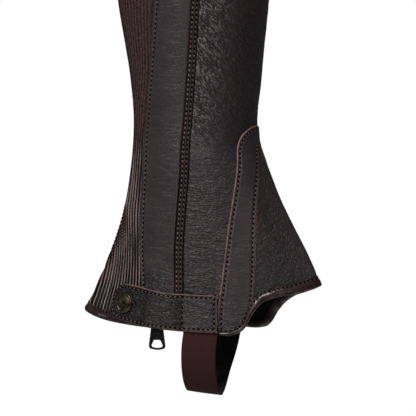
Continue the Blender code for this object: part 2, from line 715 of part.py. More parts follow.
def make_snap():
    """The domed cap on the tab, its socket behind it, and the stud on the elastic."""
    tab_level = float(read_line(SNAP_WRAP, TAB_LEVELS))
    turned("snap_cap", "antique_brass", SNAP_CAP, tab_level + LEATHER + SEAM_GAP)
    turned("snap_socket", "antique_brass", SNAP_SOCKET, tab_level - 2.0 * SEAM_GAP - SNAP_SOCKET[0, 1])
    turned("snap_stud", "antique_brass", SNAP_STUD, LEATHER + SEAM_GAP)


def make_foot_strap():
    """The elastic strap under the foot: out from under the tab, down, folded back and up to the inner wall."""
    sewn_rows, loop_rows = 3, 30
    rows = 2 * sewn_rows + loop_rows

    def place(across, up):
        near_wrap = lerp(*STRAP_WRAPS, across)
        far_wrap = lerp(*STRAP_FAR_WRAPS, across)
        hem_near = hem_height(near_wrap)
        hem_far = hem_height(far_wrap)
        near_end, far_start = sewn_rows / rows, 1.0 - sewn_rows / rows
        share = np.clip((up - near_end) / (far_start - near_end), 0.0, 1.0)
        path = smooth_table(share, STRAP_LOOP)
        start = on_leg(near_wrap, hem_near, STRAP_OUTER_LEVEL)
        end = on_leg(far_wrap, hem_far, STRAP_INNER_LEVEL)
        points = start + (end - start) * path[:, :1]
        skew = 1.0 + STRAP_SKEW * (2.0 * across - 1.0)
        points[:, 0] = lerp(start[:, 0], end[:, 0], share)
        points[:, 2] = lerp(hem_near, hem_far, share) - path[:, 1] * skew
        on_near = on_leg(near_wrap, lerp(STRAP_SEWN, hem_near, np.clip(up / near_end, 0, 1)), STRAP_OUTER_LEVEL)
        rise = np.clip((up - far_start) / (1.0 - far_start), 0, 1)
        on_far = on_leg(far_wrap, lerp(hem_far, STRAP_SEWN, rise), STRAP_INNER_LEVEL)
        points = np.where((up <= near_end)[:, None], on_near, points)
        return np.where((up >= far_start)[:, None], on_far, points)

    def from_top(across, up):
        return place(across, 1.0 - up)

    return sheet("foot_strap", "webbing", 2, rows, from_top, thickness=STRAP_THICK)


def bind(name, stations, edge_height, steep, direction, outer_level):
    """A channel folded over an edge: from the outside face, round the edge, to the inside face."""
    count = int(stations[-1, 0])

    def place(across, up):
        wrap = read_line(across * count, stations)
        if direction < 0.0:
            wrap = read_line((1.0 - across) * count, stations)
        unrolled = np.where(wrap < -0.7, wrap + 2.0, wrap)
        tall = read_line(unrolled, BINDING_HEIGHTS)
        outside = outer_level(wrap)
        inside = -LIFT - BINDING * 0.5
        level, rise, tuck = (read_line(up, BINDING_FOLD, column) for column in (1, 2, 3))
        height = edge_height(wrap) + direction * ((BINDING * 0.5 + tuck) * steep(wrap) + tall * rise)
        return on_leg(wrap, height, lerp(inside, outside, level))

    made = sheet(name, "binding", count, 4, place, thickness=BINDING)
    made.modifiers["thickness"].offset = 0.0
    return made


def make_bindings():
    """The strips folded over the hem and over the top edge."""
    def over_hem(wrap):
        return read_line(np.abs((wrap + 1.0) % 2.0 - 1.0), ARCH_LIFT) + BINDING * 0.5

    def over_top(wrap):
        return np.full_like(wrap, LEATHER + LIFT + BINDING * 0.5)

    def top_height(wrap):
        return np.full_like(wrap, TOP)

    bind("hem_binding", HEM_BINDING_STATIONS, hem_height, steepness, 1.0, over_hem)
    bind("top_binding", TOP_BINDING_STATIONS, top_height, np.ones_like, -1.0, over_top)


clear_scene()
PIECES = collection("half_chap")
make_main_panel()
make_tongue()
make_elastic_panel()
make_zip_facing()
make_zip_cover()
make_ankle_overlay()
make_zip_tapes()
make_zip_chain()
make_zip_slider()
make_zip_pull()
make_snap_tab()
make_snap()
make_foot_strap()
make_bindings()
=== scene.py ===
# %% [markdown]
# # A riding half chap in leather and ribbed elastic
# A half chap is a leather sleeve for the lower leg, worn over a short boot. This one is closed and keeps the
# shape of a leg with no one in it. The main panel goes round the front, a pleated elastic panel round the
# back, and between them a zip runs down the outer side under a leather strip. A tab with a snap closes over
# the zip's end, an arch of smooth leather covers the ankle, a folded tongue lies over the instep, and a strap
# goes under the foot.
#
# The construction model gives the frame: where each piece is, and what moves. Here each piece is made again
# as a fine surface on the same form, and gets its finish. Sizes are in millimetres until a mesh is made.

# %% Frame, units and the construction model's box
from math import cos, pi, radians, sin

import bmesh
import bpy
import numpy as np
from mathutils import Matrix, Vector


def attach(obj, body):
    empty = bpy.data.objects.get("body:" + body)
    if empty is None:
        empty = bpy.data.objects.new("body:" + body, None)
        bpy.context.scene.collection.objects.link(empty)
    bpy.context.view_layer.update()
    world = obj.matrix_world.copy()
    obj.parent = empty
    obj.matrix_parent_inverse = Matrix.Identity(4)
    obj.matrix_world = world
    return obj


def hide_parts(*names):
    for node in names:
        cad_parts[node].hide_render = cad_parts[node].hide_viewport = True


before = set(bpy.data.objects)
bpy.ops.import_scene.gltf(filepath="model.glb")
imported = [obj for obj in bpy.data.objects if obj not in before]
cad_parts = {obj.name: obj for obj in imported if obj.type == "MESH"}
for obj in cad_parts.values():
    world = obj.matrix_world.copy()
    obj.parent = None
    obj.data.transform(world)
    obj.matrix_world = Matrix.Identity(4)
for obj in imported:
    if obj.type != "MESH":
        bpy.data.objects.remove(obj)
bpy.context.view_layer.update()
MM = 0.001
CALF = 330.0  # height of the frame's origin above the lowest point of the hem

# %% [markdown]
# ## Camera
# The chap is looked at from its outer side, level, a little from the toe side, with a long lens from 1.6 m.
# The view is 312 mm high at the leg's axis, so the upper part of the chap is outside it.

# %% Camera
VIEW_TURN = radians(16.0)
VIEW_DISTANCE = 1600.0
VIEW_HEIGHT, VIEW_SIDE = 93.5, 9.75  # where the camera aims: height, and how far to the toe side of the axis
VIEW_TALL = 312.0
SENSOR = 36.0

across_view = Vector((cos(VIEW_TURN), sin(VIEW_TURN), 0.0))
into_view = Vector((-sin(VIEW_TURN), cos(VIEW_TURN), 0.0))
camera = bpy.data.objects.new("camera", bpy.data.cameras.new("camera"))
bpy.context.scene.collection.objects.link(camera)
aim = across_view * VIEW_SIDE + Vector((0.0, 0.0, VIEW_HEIGHT - CALF))
camera.location = (aim - into_view * VIEW_DISTANCE) * MM
camera.rotation_euler = (pi / 2, 0.0, VIEW_TURN)
camera.data.sensor_width = SENSOR
camera.data.lens = SENSOR * VIEW_DISTANCE / VIEW_TALL
bpy.context.scene.camera = camera
print("lens", round(camera.data.lens, 1), "mm")

# %% [markdown]
# ## The form that every piece lies on
# All pieces share one hollow, so the form is written once, as level sections: half an oval to the toe, half
# an oval to the heel. A place on it is a wrap, 0 at the middle of the toe side and 1 at the middle of the
# heel side by share of the half girth, and a height. Wrap is positive round the outer side. The tables are
# the construction model's, but the zip's seams are moved by up to 2 mm, because a fine surface shows small
# errors that a plain one hides.

# %% Sections and edges
SECTIONS = np.array([
    # height  to toe  to heel  half width  toe roundness  heel roundness
    (-20.0, 118.0, 96.0, 39.5, 1.10, 1.30),
    (20.0, 102.2, 84.0, 39.0, 1.10, 1.30),
    (40.0, 94.1, 73.8, 38.5, 1.15, 1.35),
    (60.0, 85.1, 65.4, 38.0, 1.25, 1.50),
    (80.0, 74.7, 57.8, 37.5, 1.40, 1.70),
    (100.0, 64.7, 51.8, 37.0, 1.60, 1.85),
    (122.0, 55.6, 47.7, 37.0, 1.80, 1.95),
    (140.0, 48.0, 45.9, 37.1, 1.90, 1.98),
    (157.0, 46.2, 45.1, 37.6, 2.00, 2.00),
    (190.0, 49.1, 47.6, 40.5, 2.00, 2.00),
    (250.0, 54.7, 57.2, 48.5, 2.00, 2.00),
    (330.0, 60.0, 65.0, 54.5, 2.00, 2.00),
    (430.0, 58.0, 61.0, 51.0, 2.00, 2.00),
])
HEM = np.array([
    # wrap  height of the lower edge on the outer side
    (0.00, 35.8), (0.10, 31.1), (0.20, 27.3), (0.245, 24.0), (0.285, 15.5), (0.32, 5.2), (0.36, 0.8),
    (0.42, 0.8), (0.53, 2.1), (0.64, 5.2), (0.72, 6.8), (0.86, 10.4), (0.95, 13.9), (1.00, 15.6),
])
INNER_HEM = np.array([
    # wrap on the inner side, without its sign  height of the lower edge
    (0.00, 35.8), (0.10, 31.1), (0.17, 27.7), (0.205, 24.6), (0.24, 20.0), (0.27, 14.8), (0.30, 7.6),
    (0.32, 4.2), (0.345, 2.9), (0.42, 2.9), (0.53, 3.4), (0.64, 5.4), (0.72, 6.8), (0.86, 10.4), (0.95, 13.9),
    (1.00, 15.6),
])
ZIP_SEAMS = np.array([
    # height  wrap of the cover strip's sewn edge  wrap of its free edge
    (0.0, 0.680, 0.549), (30.0, 0.697, 0.559), (60.0, 0.730, 0.566), (90.0, 0.748, 0.5505),
    (120.0, 0.748, 0.522), (150.0, 0.730, 0.487), (185.0, 0.685, 0.465), (220.0, 0.632, 0.441),
    (250.0, 0.592, 0.422), (330.0, 0.560, 0.400), (430.0, 0.552, 0.390),
])
TOP = 430.0
LEATHER = 1.3


def read_smooth(table, at):
    """Read a table's other columns at values of its first one, on a smooth curve through the rows."""
    keys, rows = table[:, 0], table[:, 1:]
    slopes = np.gradient(rows, keys, axis=0)
    at = np.clip(np.asarray(at, float), keys[0], keys[-1])
    low = np.clip(np.searchsorted(keys, at) - 1, 0, len(keys) - 2)
    span = keys[low + 1] - keys[low]
    t = ((at - keys[low]) / span)[..., None]
    rise = rows[low + 1] - rows[low]
    slope_low = slopes[low] * span[..., None]
    slope_high = slopes[low + 1] * span[..., None]
    return (rows[low] + t * slope_low + t**2 * (3 * rise - 2 * slope_low - slope_high)
            + t**3 * (slope_low + slope_high - 2 * rise))


def lerp(low, high, share):
    return low + (high - low) * share


def read(table, at):
    """Read a table's second column at values of its first one, on straight lines between the rows."""
    return np.interp(at, table[:, 0], table[:, 1])


print("form", len(SECTIONS), "sections; hem from", HEM[:, 1].min(), "to", HEM[:, 1].max(), "mm")

# %% [markdown]
# A fine surface has tens of thousands of points, so the sections are worked out once on a net of heights and
# wraps, and any place is read between the net's points. Standing a point out from the hollow goes square to
# the surface, and on a fold a little further, as a mitre does, so that layers keep their distance there too.

# %% The net, and points that stand out of it
NET_HEIGHTS = np.arange(-40.0, 440.0, 1.0)
NET_WRAPS = np.linspace(0.0, 1.0, 601)
NET_TURNS = np.linspace(0.0, pi, 1441)  # round a section from toe to heel, before its points are spaced evenly
FOLD_REACH = 2.5  # millimetres to each side over which the way out is averaged
LONGEST_MITRE = 0.3  # as the cosine of the angle between the way out and a side


def make_net():
    """The hollow's x and half width on a net of heights and wraps, and the half girth at each height."""
    to_toe, to_heel, half_width, toe_round, heel_round = read_smooth(SECTIONS, NET_HEIGHTS).T[..., None]
    ahead = np.cos(NET_TURNS) >= 0.0
    x = np.where(ahead, to_toe, to_heel) * np.cos(NET_TURNS)
    y = half_width * np.abs(np.sin(NET_TURNS)) ** (2.0 / np.where(ahead, toe_round, heel_round))
    steps = np.hypot(np.diff(x, axis=1), np.diff(y, axis=1))
    run = np.concatenate([np.zeros((len(x), 1)), np.cumsum(steps, axis=1)], axis=1)
    net = np.empty((len(x), len(NET_WRAPS), 2))
    for row, goal in enumerate(run[:, -1:] * NET_WRAPS):
        net[row, :, 0] = np.interp(goal, run[row], x[row])
        net[row, :, 1] = np.interp(goal, run[row], y[row])
    return net, run[:, -1]


NET, NET_GIRTHS = make_net()
print("half girth at the calf", round(float(np.interp(CALF, NET_HEIGHTS, NET_GIRTHS)), 1), "mm")


def half_girth(height):
    return np.interp(height, NET_HEIGHTS, NET_GIRTHS)


def hollow(wrap, height):
    """Points on the hollow, read between the net's points."""
    wrap = (wrap + 1.0) % 2.0 - 1.0
    row = np.clip(height - NET_HEIGHTS[0], 0.0, len(NET_HEIGHTS) - 1.001)
    column = np.abs(wrap) * (len(NET_WRAPS) - 1.001)
    i, j = row.astype(int), column.astype(int)
    s, t = (row - i)[..., None], (column - j)[..., None]
    flat = lerp(lerp(NET[i, j], NET[i, j + 1], t), lerp(NET[i + 1, j], NET[i + 1, j + 1], t), s)
    return np.stack([flat[..., 0], np.where(wrap < 0, flat[..., 1], -flat[..., 1]), height], axis=-1)


def outward(wrap, height):
    """The way out of the hollow, as far as one millimetre of thickness goes."""
    round_step = FOLD_REACH / half_girth(height)
    here = hollow(wrap, height)
    up = hollow(wrap, height + 1.0) - hollow(wrap, height - 1.0)
    before = np.cross(up, here - hollow(wrap - round_step, height))
    after = np.cross(up, hollow(wrap + round_step, height) - here)
    before /= np.linalg.norm(before, axis=-1, keepdims=True)
    after /= np.linalg.norm(after, axis=-1, keepdims=True)
    way = before + after
    way /= np.linalg.norm(way, axis=-1, keepdims=True)
    return way / np.maximum((way * after).sum(axis=-1, keepdims=True), LONGEST_MITRE)


def on_leg(wrap, height, out):
    wrap, height, out = np.broadcast_arrays(*(np.asarray(a, float) for a in (wrap, height, out)))
    return hollow(wrap, height) + outward(wrap, height) * out[..., None]


def folded(wrap):
    """A wrap brought back to 0..1, alike on both sides of the leg."""
    return np.abs((wrap + 1.0) % 2.0 - 1.0)


def hem_height(wrap):
    outer, inner = (read_smooth(table, folded(wrap))[..., 0] for table in (HEM, INNER_HEM))
    return np.where((wrap + 1.0) % 2.0 < 1.0, inner, outer)


def cover_edges(height):
    """Wraps of the cover strip's sewn edge and of its free edge."""
    edges = read_smooth(ZIP_SEAMS, height)
    return edges[..., 0], edges[..., 1]


# %% [markdown]
# ## Hills and creases
# Leather that has been worn is never even. Two random functions shape it: gradient noise gives smooth hills,
# and the lines where such noise crosses zero make long, branching creases. Both can be stretched and turned,
# because leather on a leg creases mostly round it. The seeds are fixed, so each run gives the same hide.

# %% Hills and creases
def hills(x, y, seed):
    """Smooth random hills, about one unit wide and from about -0.7 to 0.7 high."""
    random = np.random.default_rng(seed)
    order, angle = random.permutation(256), random.random(256) * 2.0 * pi
    column, row = np.floor(x).astype(int), np.floor(y).astype(int)
    s, t = x - column, y - row

    def corner(right, up):
        way = angle[order[(order[(column + right) & 255] + row + up) & 255]]
        return np.cos(way) * (s - right) + np.sin(way) * (t - up)

    ease_s, ease_t = (v**3 * (v * (v * 6.0 - 15.0) + 10.0) for v in (s, t))
    return lerp(lerp(corner(0, 0), corner(1, 0), ease_s), lerp(corner(0, 1), corner(1, 1), ease_s), ease_t)


def turned(u, v, degrees):
    """Places measured along a slanting line and away from it."""
    angle = np.radians(degrees)
    return u * np.cos(angle) + v * np.sin(angle), v * np.cos(angle) - u * np.sin(angle)


def stretched_hills(u, v, long, short, degrees, seed):
    """Hills as long and as short as given, in millimetres, turned by an angle, with wandering sides."""
    along, beside = turned(u, v, degrees)
    beside = beside + short * 0.9 * hills(along / long, beside / (short * 4.0), seed + 1)
    return hills(along / long, beside / short, seed)


def creases(u, v, long, short, degrees, seed, narrow=0.10):
    """Creases, 0 on the leather and 1 at the bottom of a crease."""
    return np.exp(-(stretched_hills(u, v, long, short, degrees, seed) / narrow) ** 2)


def bell(distance, width):
    return np.exp(-(distance / width) ** 2)


def soft_step(value, low, high):
    t = np.clip((value - low) / (high - low), 0.0, 1.0)
    return t * t * (3.0 - 2.0 * t)


sample = hills(*np.meshgrid(np.arange(0.0, 30.0, 0.1), np.arange(0.0, 30.0, 0.1)), 1)
print("hills reach from", round(float(sample.min()), 2), "to", round(float(sample.max()), 2))

# %% [markdown]
# ## Shader expressions
# Node trees are easier to read as sums and products. `Value` wraps an output socket, and Python's operators
# on it add Math nodes. `Tree` adds any other node in one call: its settings first, then what goes into its
# sockets. The same two serve materials and Geometry Nodes.

# %% Values that take part in expressions
class Value:
    """An output socket that takes part in Python expressions."""

    def __init__(self, tree, socket):
        self.tree, self.socket = tree, socket

    def maths(self, operation, *others):
        return self.tree.node("ShaderNodeMath", {"operation": operation}, dict(enumerate((self, *others))))

    def __add__(self, other):
        return self.maths("ADD", other)

    def __mul__(self, other):
        return self.maths("MULTIPLY", other)

    def __sub__(self, other):
        return self.maths("SUBTRACT", other)

    def __rsub__(self, other):
        return self * -1.0 + other

    def __truediv__(self, other):
        return self.maths("DIVIDE", other)

    def __pow__(self, other):
        return self.maths("POWER", other)

    __radd__ = __add__
    __rmul__ = __mul__

    def between(self, low, high):
        """0 below low, 1 above high, and smooth from one to the other."""
        values = {"Value": self, "From Min": low, "From Max": high}
        return self.tree.node("ShaderNodeMapRange", {"interpolation_type": "SMOOTHSTEP"}, values)


# %% Trees that nodes are added to
class Tree:
    """A node tree, and one way to add any node to it: its kind, its settings, and what its sockets get."""

    def __init__(self, group):
        self.group = group

    def node(self, kind, settings=None, sockets=None, output=0):
        made = self.group.nodes.new(kind)
        for name, value in (settings or {}).items():
            setattr(made, name, value)
        for name, value in (sockets or {}).items():
            if isinstance(value, Value):
                self.group.links.new(value.socket, made.inputs[name])
            else:
                made.inputs[name].default_value = value
        return Value(self, made.outputs[output]) if len(made.outputs) else made

    def named(self, socket, value):
        """Feed a socket that was found by other means."""
        self.group.links.new(value.socket, socket)

    def mix(self, share, first, second):
        """Blend two colours, each a value or its red, green and blue."""
        first, second = (way if isinstance(way, Value) else (*way, 1.0) for way in (first, second))
        sockets = {0: share, 6: first, 7: second}
        return self.node("ShaderNodeMix", {"data_type": "RGBA"}, sockets, output=2)

    def stretch(self, vector, scale):
        return self.node("ShaderNodeVectorMath", {"operation": "MULTIPLY"}, {0: vector, 1: scale})

    def shift(self, vector, by):
        return self.node("ShaderNodeVectorMath", {"operation": "ADD"}, {0: vector, 1: by})

    def noise(self, place, scale, detail=2.0, roughness=0.5, output=0):
        sockets = {"Vector": place, "Scale": scale, "Detail": detail, "Roughness": roughness}
        return self.node("ShaderNodeTexNoise", None, sockets, output)


# %% A tree that is a finish
class Finish(Tree):
    """A material with a Principled shader. Places are in metres, on the flat cut piece or in the frame."""

    def __init__(self, name, **values):
        self.material = bpy.data.materials.new(name)
        self.material.use_nodes = True
        super().__init__(self.material.node_tree)
        self.shader = self.group.nodes["Principled BSDF"]
        for socket, value in values.items():
            self.shader.inputs[socket.replace("_", " ").title().replace("Ior", "IOR")].default_value = value

    def flat(self):
        return self.node("ShaderNodeUVMap", {"uv_map": "flat"})

    def solid(self):
        return self.node("ShaderNodeTexCoord", output=3)

    def attribute(self, name):
        return self.node("ShaderNodeAttribute", {"attribute_name": name}, output=2)

    def colour(self, value):
        self.named(self.shader.inputs["Base Color"], value)

    def roughness(self, value):
        self.named(self.shader.inputs["Roughness"], value)

    def relief(self, *layers):
        """Bump, from layers of (height from 0 to 1, depth in millimetres)."""
        normal = None
        for height, depth in layers:
            sockets = {"Height": height, "Distance": depth * MM}
            if normal:
                sockets["Normal"] = normal
            normal = self.node("ShaderNodeBump", None, sockets)
        self.named(self.shader.inputs["Normal"], normal)


# %% [markdown]
# ## Finishes
# The leather is full grain, dyed a brown that is nearly black, with a soft sheen. Its grain is a mosaic of
# small pebbles with fine valleys between, and over it lie long wrinkles: aslant on the upper leg, level lower
# down. A scan of a hide would do as a texture, but here cells and noise are laid out on the flat cut piece,
# so that they follow the leg and fit every piece. The tone differs at random from one place to another. Some
# pieces also have light and shade painted into their colour: a painted highlight on the backs of the main
# panel's wrinkles near the zip on the upper leg, painted light towards the tongue's fold, painted shade over
# the tab and most in its bends, and painted shade at the lower ends of the cover and the ankle reinforcement.
#
# Cut edges are redder, because the dye stays near the surface. The cover's free edge was dyed dark red, and its
# band is made darker and wider still, as painted shade beside the zip. The back of the leather is like suede.

# %% Pebbles and wrinkles
def pebbles(finish, place, size, turn, long):
    """Cells of grain, from 0 in the valleys to 1 on the pebbles, pulled long at an angle to the leg's girth."""
    turned_place = finish.node("ShaderNodeVectorRotate", {"rotation_type": "Z_AXIS"},
                               {"Vector": place, "Angle": radians(-turn)})
    wander = finish.noise(turned_place, 1.0 / (3.5 * size * MM), 2.0, output=1)
    bent = finish.shift(turned_place, finish.stretch(wander, (1.6 * size * MM,) * 3))
    sockets = {"Vector": finish.stretch(bent, (1.0 / long, long**0.5, 1.0)), "Scale": 1.0 / (size * MM)}
    cells = finish.node("ShaderNodeTexVoronoi", {"feature": "DISTANCE_TO_EDGE"}, sockets)
    return cells.between(0.0, 0.35), bent


def wrinkles(finish, bent, width, long):
    """Wrinkles of a width in millimetres, which are that many times as long, along the first axis: 0 in the
    creases between them and 1 on their backs."""
    soft = finish.noise(finish.stretch(bent, (1.0 / long, 1.0, 1.0)), 0.5 / (width * MM), 2.0, 0.6)
    return (soft - 0.5).maths("ABSOLUTE").between(0.0, 0.16) * 0.6 + soft * 0.8 - 0.2


# %% Leather
TURNING = (0.115, 0.165)  # metres up the leg between which the grain goes from one slant to the other


def leather(name, size, depth, lines=0.1, width=2.4, long=5.0, turns=(0.0, 0.0), dark=(0.0085, 0.0060, 0.0062),
            light=(0.0290, 0.0212, 0.0214), roughness=(0.36, 0.50), shine=0.5, painted_light_span=(1.0, 2.0),
            axis=0, painted_tone=(0.0, 0.0, 0.0), crisp=1.0):
    """Grain leather. size is that of its pebbles and depth their relief. lines is the relief of its wrinkles,
    width their width, and long how many times as long they are. All but the last are in millimetres. turns are
    the slants of the grain below and above the ankle. From the first of the span's places to the second, in
    metres round the leg or up it by the axis, the colour changes to another tone, which is painted light or
    painted shade. crisp is how far only the backs of the wrinkles and pebbles show that. The span that is there
    without asking lies beyond every piece, so nothing is painted. Where the span is None, the piece's own value
    of painted shade on the mesh says how much."""
    finish = Finish(name, ior=1.46, specular_ior_level=shine)
    place = finish.flat()
    grain, bent = pebbles(finish, place, size, turns[0], 1.9)
    level = wrinkles(finish, bent, width, long)
    # near is how much painted light or painted shade each place takes
    if painted_light_span:
        near = finish.node("ShaderNodeSeparateXYZ", None, {0: place}, output=axis).between(*painted_light_span)
    else:
        near = finish.attribute("painted_shade_mix")
    if turns[1] != turns[0]:
        high_grain, high_bent = pebbles(finish, place, size * 1.5, turns[1], 2.8)
        height = finish.node("ShaderNodeSeparateXYZ", None, {0: place}, output=1)
        share = height.between(*TURNING)
        near = near * share
        grain = grain * (1.0 - share) + high_grain * share
        level = level * (1.0 - share) + wrinkles(finish, high_bent, width * 0.62, long * 0.62) * share
    fine = finish.noise(place, 1.0 / (0.45 * MM), 3.0)
    patch = finish.noise(place, 1.0 / (30.0 * MM), 3.0)
    strength = finish.noise(place, 1.0 / (14.0 * MM), 2.0).between(0.35, 0.62) * 0.65 + near * 0.6 + 0.35
    share = patch * 0.6 + grain * 0.35 + level * 0.3 + fine * 0.2 - 0.3 - near * 0.3
    even = finish.mix(share, dark, light)
    backs = level.between(0.16, 0.66) * (grain * 0.7 + 0.3) * crisp + (1.0 - crisp)
    # painted light or painted shade: the other tone, mixed in where near is
    finish.colour(finish.mix(near * backs, even, painted_tone))
    low, high = roughness
    finish.roughness(fine * 0.4 * (high - low) + patch * (high - low) + low - grain * 0.06)
    finish.relief((grain * (near * 1.9 + 0.8) + fine * 0.2, depth), (level * strength, lines))
    return finish.material


# %% Cut edges and the back
def cut_edge(name, dark, light):
    """The raw edge of the leather: reddish brown fibres, darker where the edge was dyed."""
    finish = Finish(name, roughness=0.6)
    place = finish.solid()
    fibres = finish.noise(place, 1.0 / (0.8 * MM), 3.0, 0.6)
    blots = finish.noise(place, 1.0 / (6.0 * MM), 2.0)
    share = (fibres * 0.6 + blots * 0.5).between(0.32, 0.78)
    finish.colour(finish.mix(share, dark, light))
    finish.relief((fibres, 0.10))
    return finish.material


def suede():
    """The back of the leather, where the hollow shows."""
    finish = Finish("leather_back", roughness=0.85, specular_ior_level=0.15)
    nap = finish.noise(finish.solid(), 1.0 / (0.8 * MM), 4.0, 0.65)
    finish.colour(finish.mix(nap.between(0.3, 0.7), (0.0012, 0.0007, 0.0008), (0.0044, 0.0028, 0.0028)))
    finish.relief((nap, 0.15))
    return finish.material


# %% The leathers of this chap
# painted highlight: on the upper leg near the zip, the backs of the main panel's wrinkles turn pale
GRAIN = leather("grain_leather", 1.45, 0.20, lines=0.85, turns=(4.0, 42.0), shine=0.38, painted_light_span=(0.030, 0.062),
                light=(0.0190, 0.0139, 0.0141), painted_tone=(0.1600, 0.1360, 0.1400))
# painted shade: the tab darkens by its own value on the mesh, most in its bends
TAB_LEATHER = leather("tab_leather", 1.7, 0.25, lines=1.05, long=3.0, turns=(14.0, 14.0), shine=0.38,
                      dark=(0.0055, 0.0040, 0.0041), light=(0.0340, 0.0253, 0.0256), roughness=(0.40, 0.52),
                      painted_light_span=None, painted_tone=(0.0018, 0.0012, 0.0013), crisp=0.2)
# painted light: the tongue turns paler towards its fold, and is paler over all its inner half
TONGUE_LEATHER = leather("tongue_leather", 1.35, 0.16, lines=0.32, width=1.7, long=2.6, turns=(-24.0, -24.0),
                         dark=(0.0055, 0.0041, 0.0042), light=(0.0165, 0.0124, 0.0127), roughness=(0.42, 0.54),
                         shine=0.42, painted_light_span=(0.024, 0.002), painted_tone=(0.0290, 0.0228, 0.0232), crisp=0.25)
smooth_look = {"lines": 0.21, "width": 2.2, "long": 4.4, "dark": (0.0115, 0.0085, 0.0089),
               "light": (0.0320, 0.0248, 0.0253), "roughness": (0.40, 0.50)}
# painted shade: the cover darkens below 52 mm, just above the tab, and the reinforcement below 24 mm, down to
# the hem
shaded = {"axis": 1, "painted_tone": (0.0030, 0.0020, 0.0021), "crisp": 0.1}
SMOOTH = leather("smooth_leather", 1.3, 0.06, lines=0.2, dark=(0.0058, 0.0042, 0.0044),
                 light=(0.0190, 0.0140, 0.0144), roughness=(0.40, 0.50), shine=0.42)
COVER_LEATHER = leather("cover_leather", 1.3, 0.06, **smooth_look, **shaded, painted_light_span=(0.052, 0.041))
OVERLAY_LEATHER = leather("overlay_leather", 1.3, 0.06, **smooth_look, **shaded, painted_light_span=(0.024, 0.004))
EDGE = cut_edge("cut_edge", (0.040, 0.016, 0.013), (0.190, 0.105, 0.082))
# a dark red dyed edge, made darker still as painted shade beside the zip
DYED_SHADED_EDGE = cut_edge("dyed_edge", (0.0050, 0.0009, 0.0010), (0.0210, 0.0048, 0.0045))
BACK = suede()
print("leathers", *(material.name for material in bpy.data.materials))

# %% [markdown]
# The binding is thinner leather whose finish is glossy in patches, so its clear coat follows a noise. The
# stretch panel is a pleated fabric, and its colour holds painted light: a painted highlight on its ridges, and
# painted shade that makes its valleys almost black. A plain colour would look like rubber, so the colour
# follows a `crest` value that the ribs' node tree leaves on the mesh. A second value on the mesh takes the
# painted highlight away, as painted shade, at the heel and beside the cover, where the ridges stay a plain
# dark red. The strap is woven elastic, brown outside and black inside. Thread is dyed in three tones, and a
# needle hole is just a dark bead of painted shade.

# %% Binding and ribbed elastic
def glossy_binding():
    finish = Finish("binding_leather", ior=1.5, specular_ior_level=0.2, coat_roughness=0.14)
    place = finish.flat()
    fine = finish.noise(place, 1.0 / (0.9 * MM), 3.0, 0.6)
    patch = finish.noise(place, 1.0 / (6.0 * MM), 2.0)
    finish.colour(finish.mix(patch * 0.6 + fine * 0.4, (0.0036, 0.0010, 0.0012), (0.0240, 0.0085, 0.0085)))
    finish.named(finish.shader.inputs["Coat Weight"], patch.between(0.42, 0.66) * 0.9 + 0.05)
    finish.roughness(fine * 0.2 + 0.42)
    finish.relief((fine, 0.12), (patch, 0.9))
    return finish.material


def ribbed_elastic():
    """The pleated elastic. Its colour holds painted light: painted shade makes the grooves black and a painted
    highlight makes the ridges pale, more even and browner where it is pulled open. Where the mesh's painted
    shade takes the highlight away, it is a plain dark red."""
    finish = Finish("ribbed_elastic", specular_ior_level=0.12)
    place = finish.flat()
    crest, swell, painted_shade_mix = (finish.attribute(name) for name in ("crest", "swell", "painted_shade_mix"))
    fluff = finish.noise(finish.stretch(place, (1.0, 0.35, 1.0)), 1.0 / (0.45 * MM), 4.0, 0.7)
    patch = finish.noise(finish.stretch(place, (1.0, 0.3, 1.0)), 1.0 / (4.0 * MM), 3.0, 0.6)
    pulled = 1.0 - swell.between(0.40, 0.90)
    speck = finish.noise(finish.stretch(place, (1.0, 0.5, 1.0)), 1.0 / (1.0 * MM), 2.0, 0.7).between(0.30, 0.70)
    # painted highlight on the ridges, painted shade in the grooves
    lit = (crest + fluff * 0.5 - 0.25).between(0.55, 1.10)
    groove_shade = finish.mix(patch, (0.0008, 0.0003, 0.0003), (0.0030, 0.0012, 0.0011))
    opened = finish.mix(patch * 0.3 + speck * 0.55 + crest - 0.25, (0.0090, 0.0034, 0.0034),
                        (0.0880, 0.0540, 0.0525))
    ribs = finish.mix(lit, groove_shade, (0.290, 0.222, 0.211))
    cloth = finish.mix(pulled, ribs, opened)
    finish.colour(finish.mix(painted_shade_mix, (0.0120, 0.0025, 0.0028), cloth))
    finish.roughness(0.62 - crest * 0.2 + fluff * 0.1)
    finish.relief((fluff, 0.12))
    return finish.material


# %% Webbing, thread and needle holes
BANDS = 0.314  # a wave texture's scale for bands one unit apart


def woven(name, dark, light, cord=1.1):
    """Woven elastic: cords along it, each crossed by many short threads."""
    finish = Finish(name, roughness=0.85, specular_ior_level=0.12)
    place = finish.flat()
    cords = finish.node("ShaderNodeTexWave", {"bands_direction": "X"},
                        {"Vector": place, "Scale": BANDS / (cord * MM)})
    threads = finish.node("ShaderNodeTexWave", {"bands_direction": "Y"},
                          {"Vector": place, "Scale": BANDS / (0.7 * cord * MM)})
    fluff = finish.noise(place, 1.0 / (0.4 * MM), 3.0, 0.7)
    share = cords * 0.35 + threads * 0.25 + fluff * 0.5 - 0.05
    finish.colour(finish.mix(share, dark, light))
    finish.relief((cords * 0.6 + threads * 0.4, 0.15), (fluff, 0.08))
    return finish.material


def spun_thread(name, dark, light):
    """Thread: strands that wind round it, lighter where they are worn."""
    finish = Finish(name, roughness=0.55)
    strands = finish.noise(finish.solid(), 1.0 / (0.35 * MM), 2.0)
    blots = finish.noise(finish.solid(), 1.0 / (10.0 * MM), 1.0)
    share = (strands * 0.6 + blots * 0.5).between(0.3, 0.8)
    finish.colour(finish.mix(share, dark, light))
    finish.relief((strands, 0.06))
    return finish.material


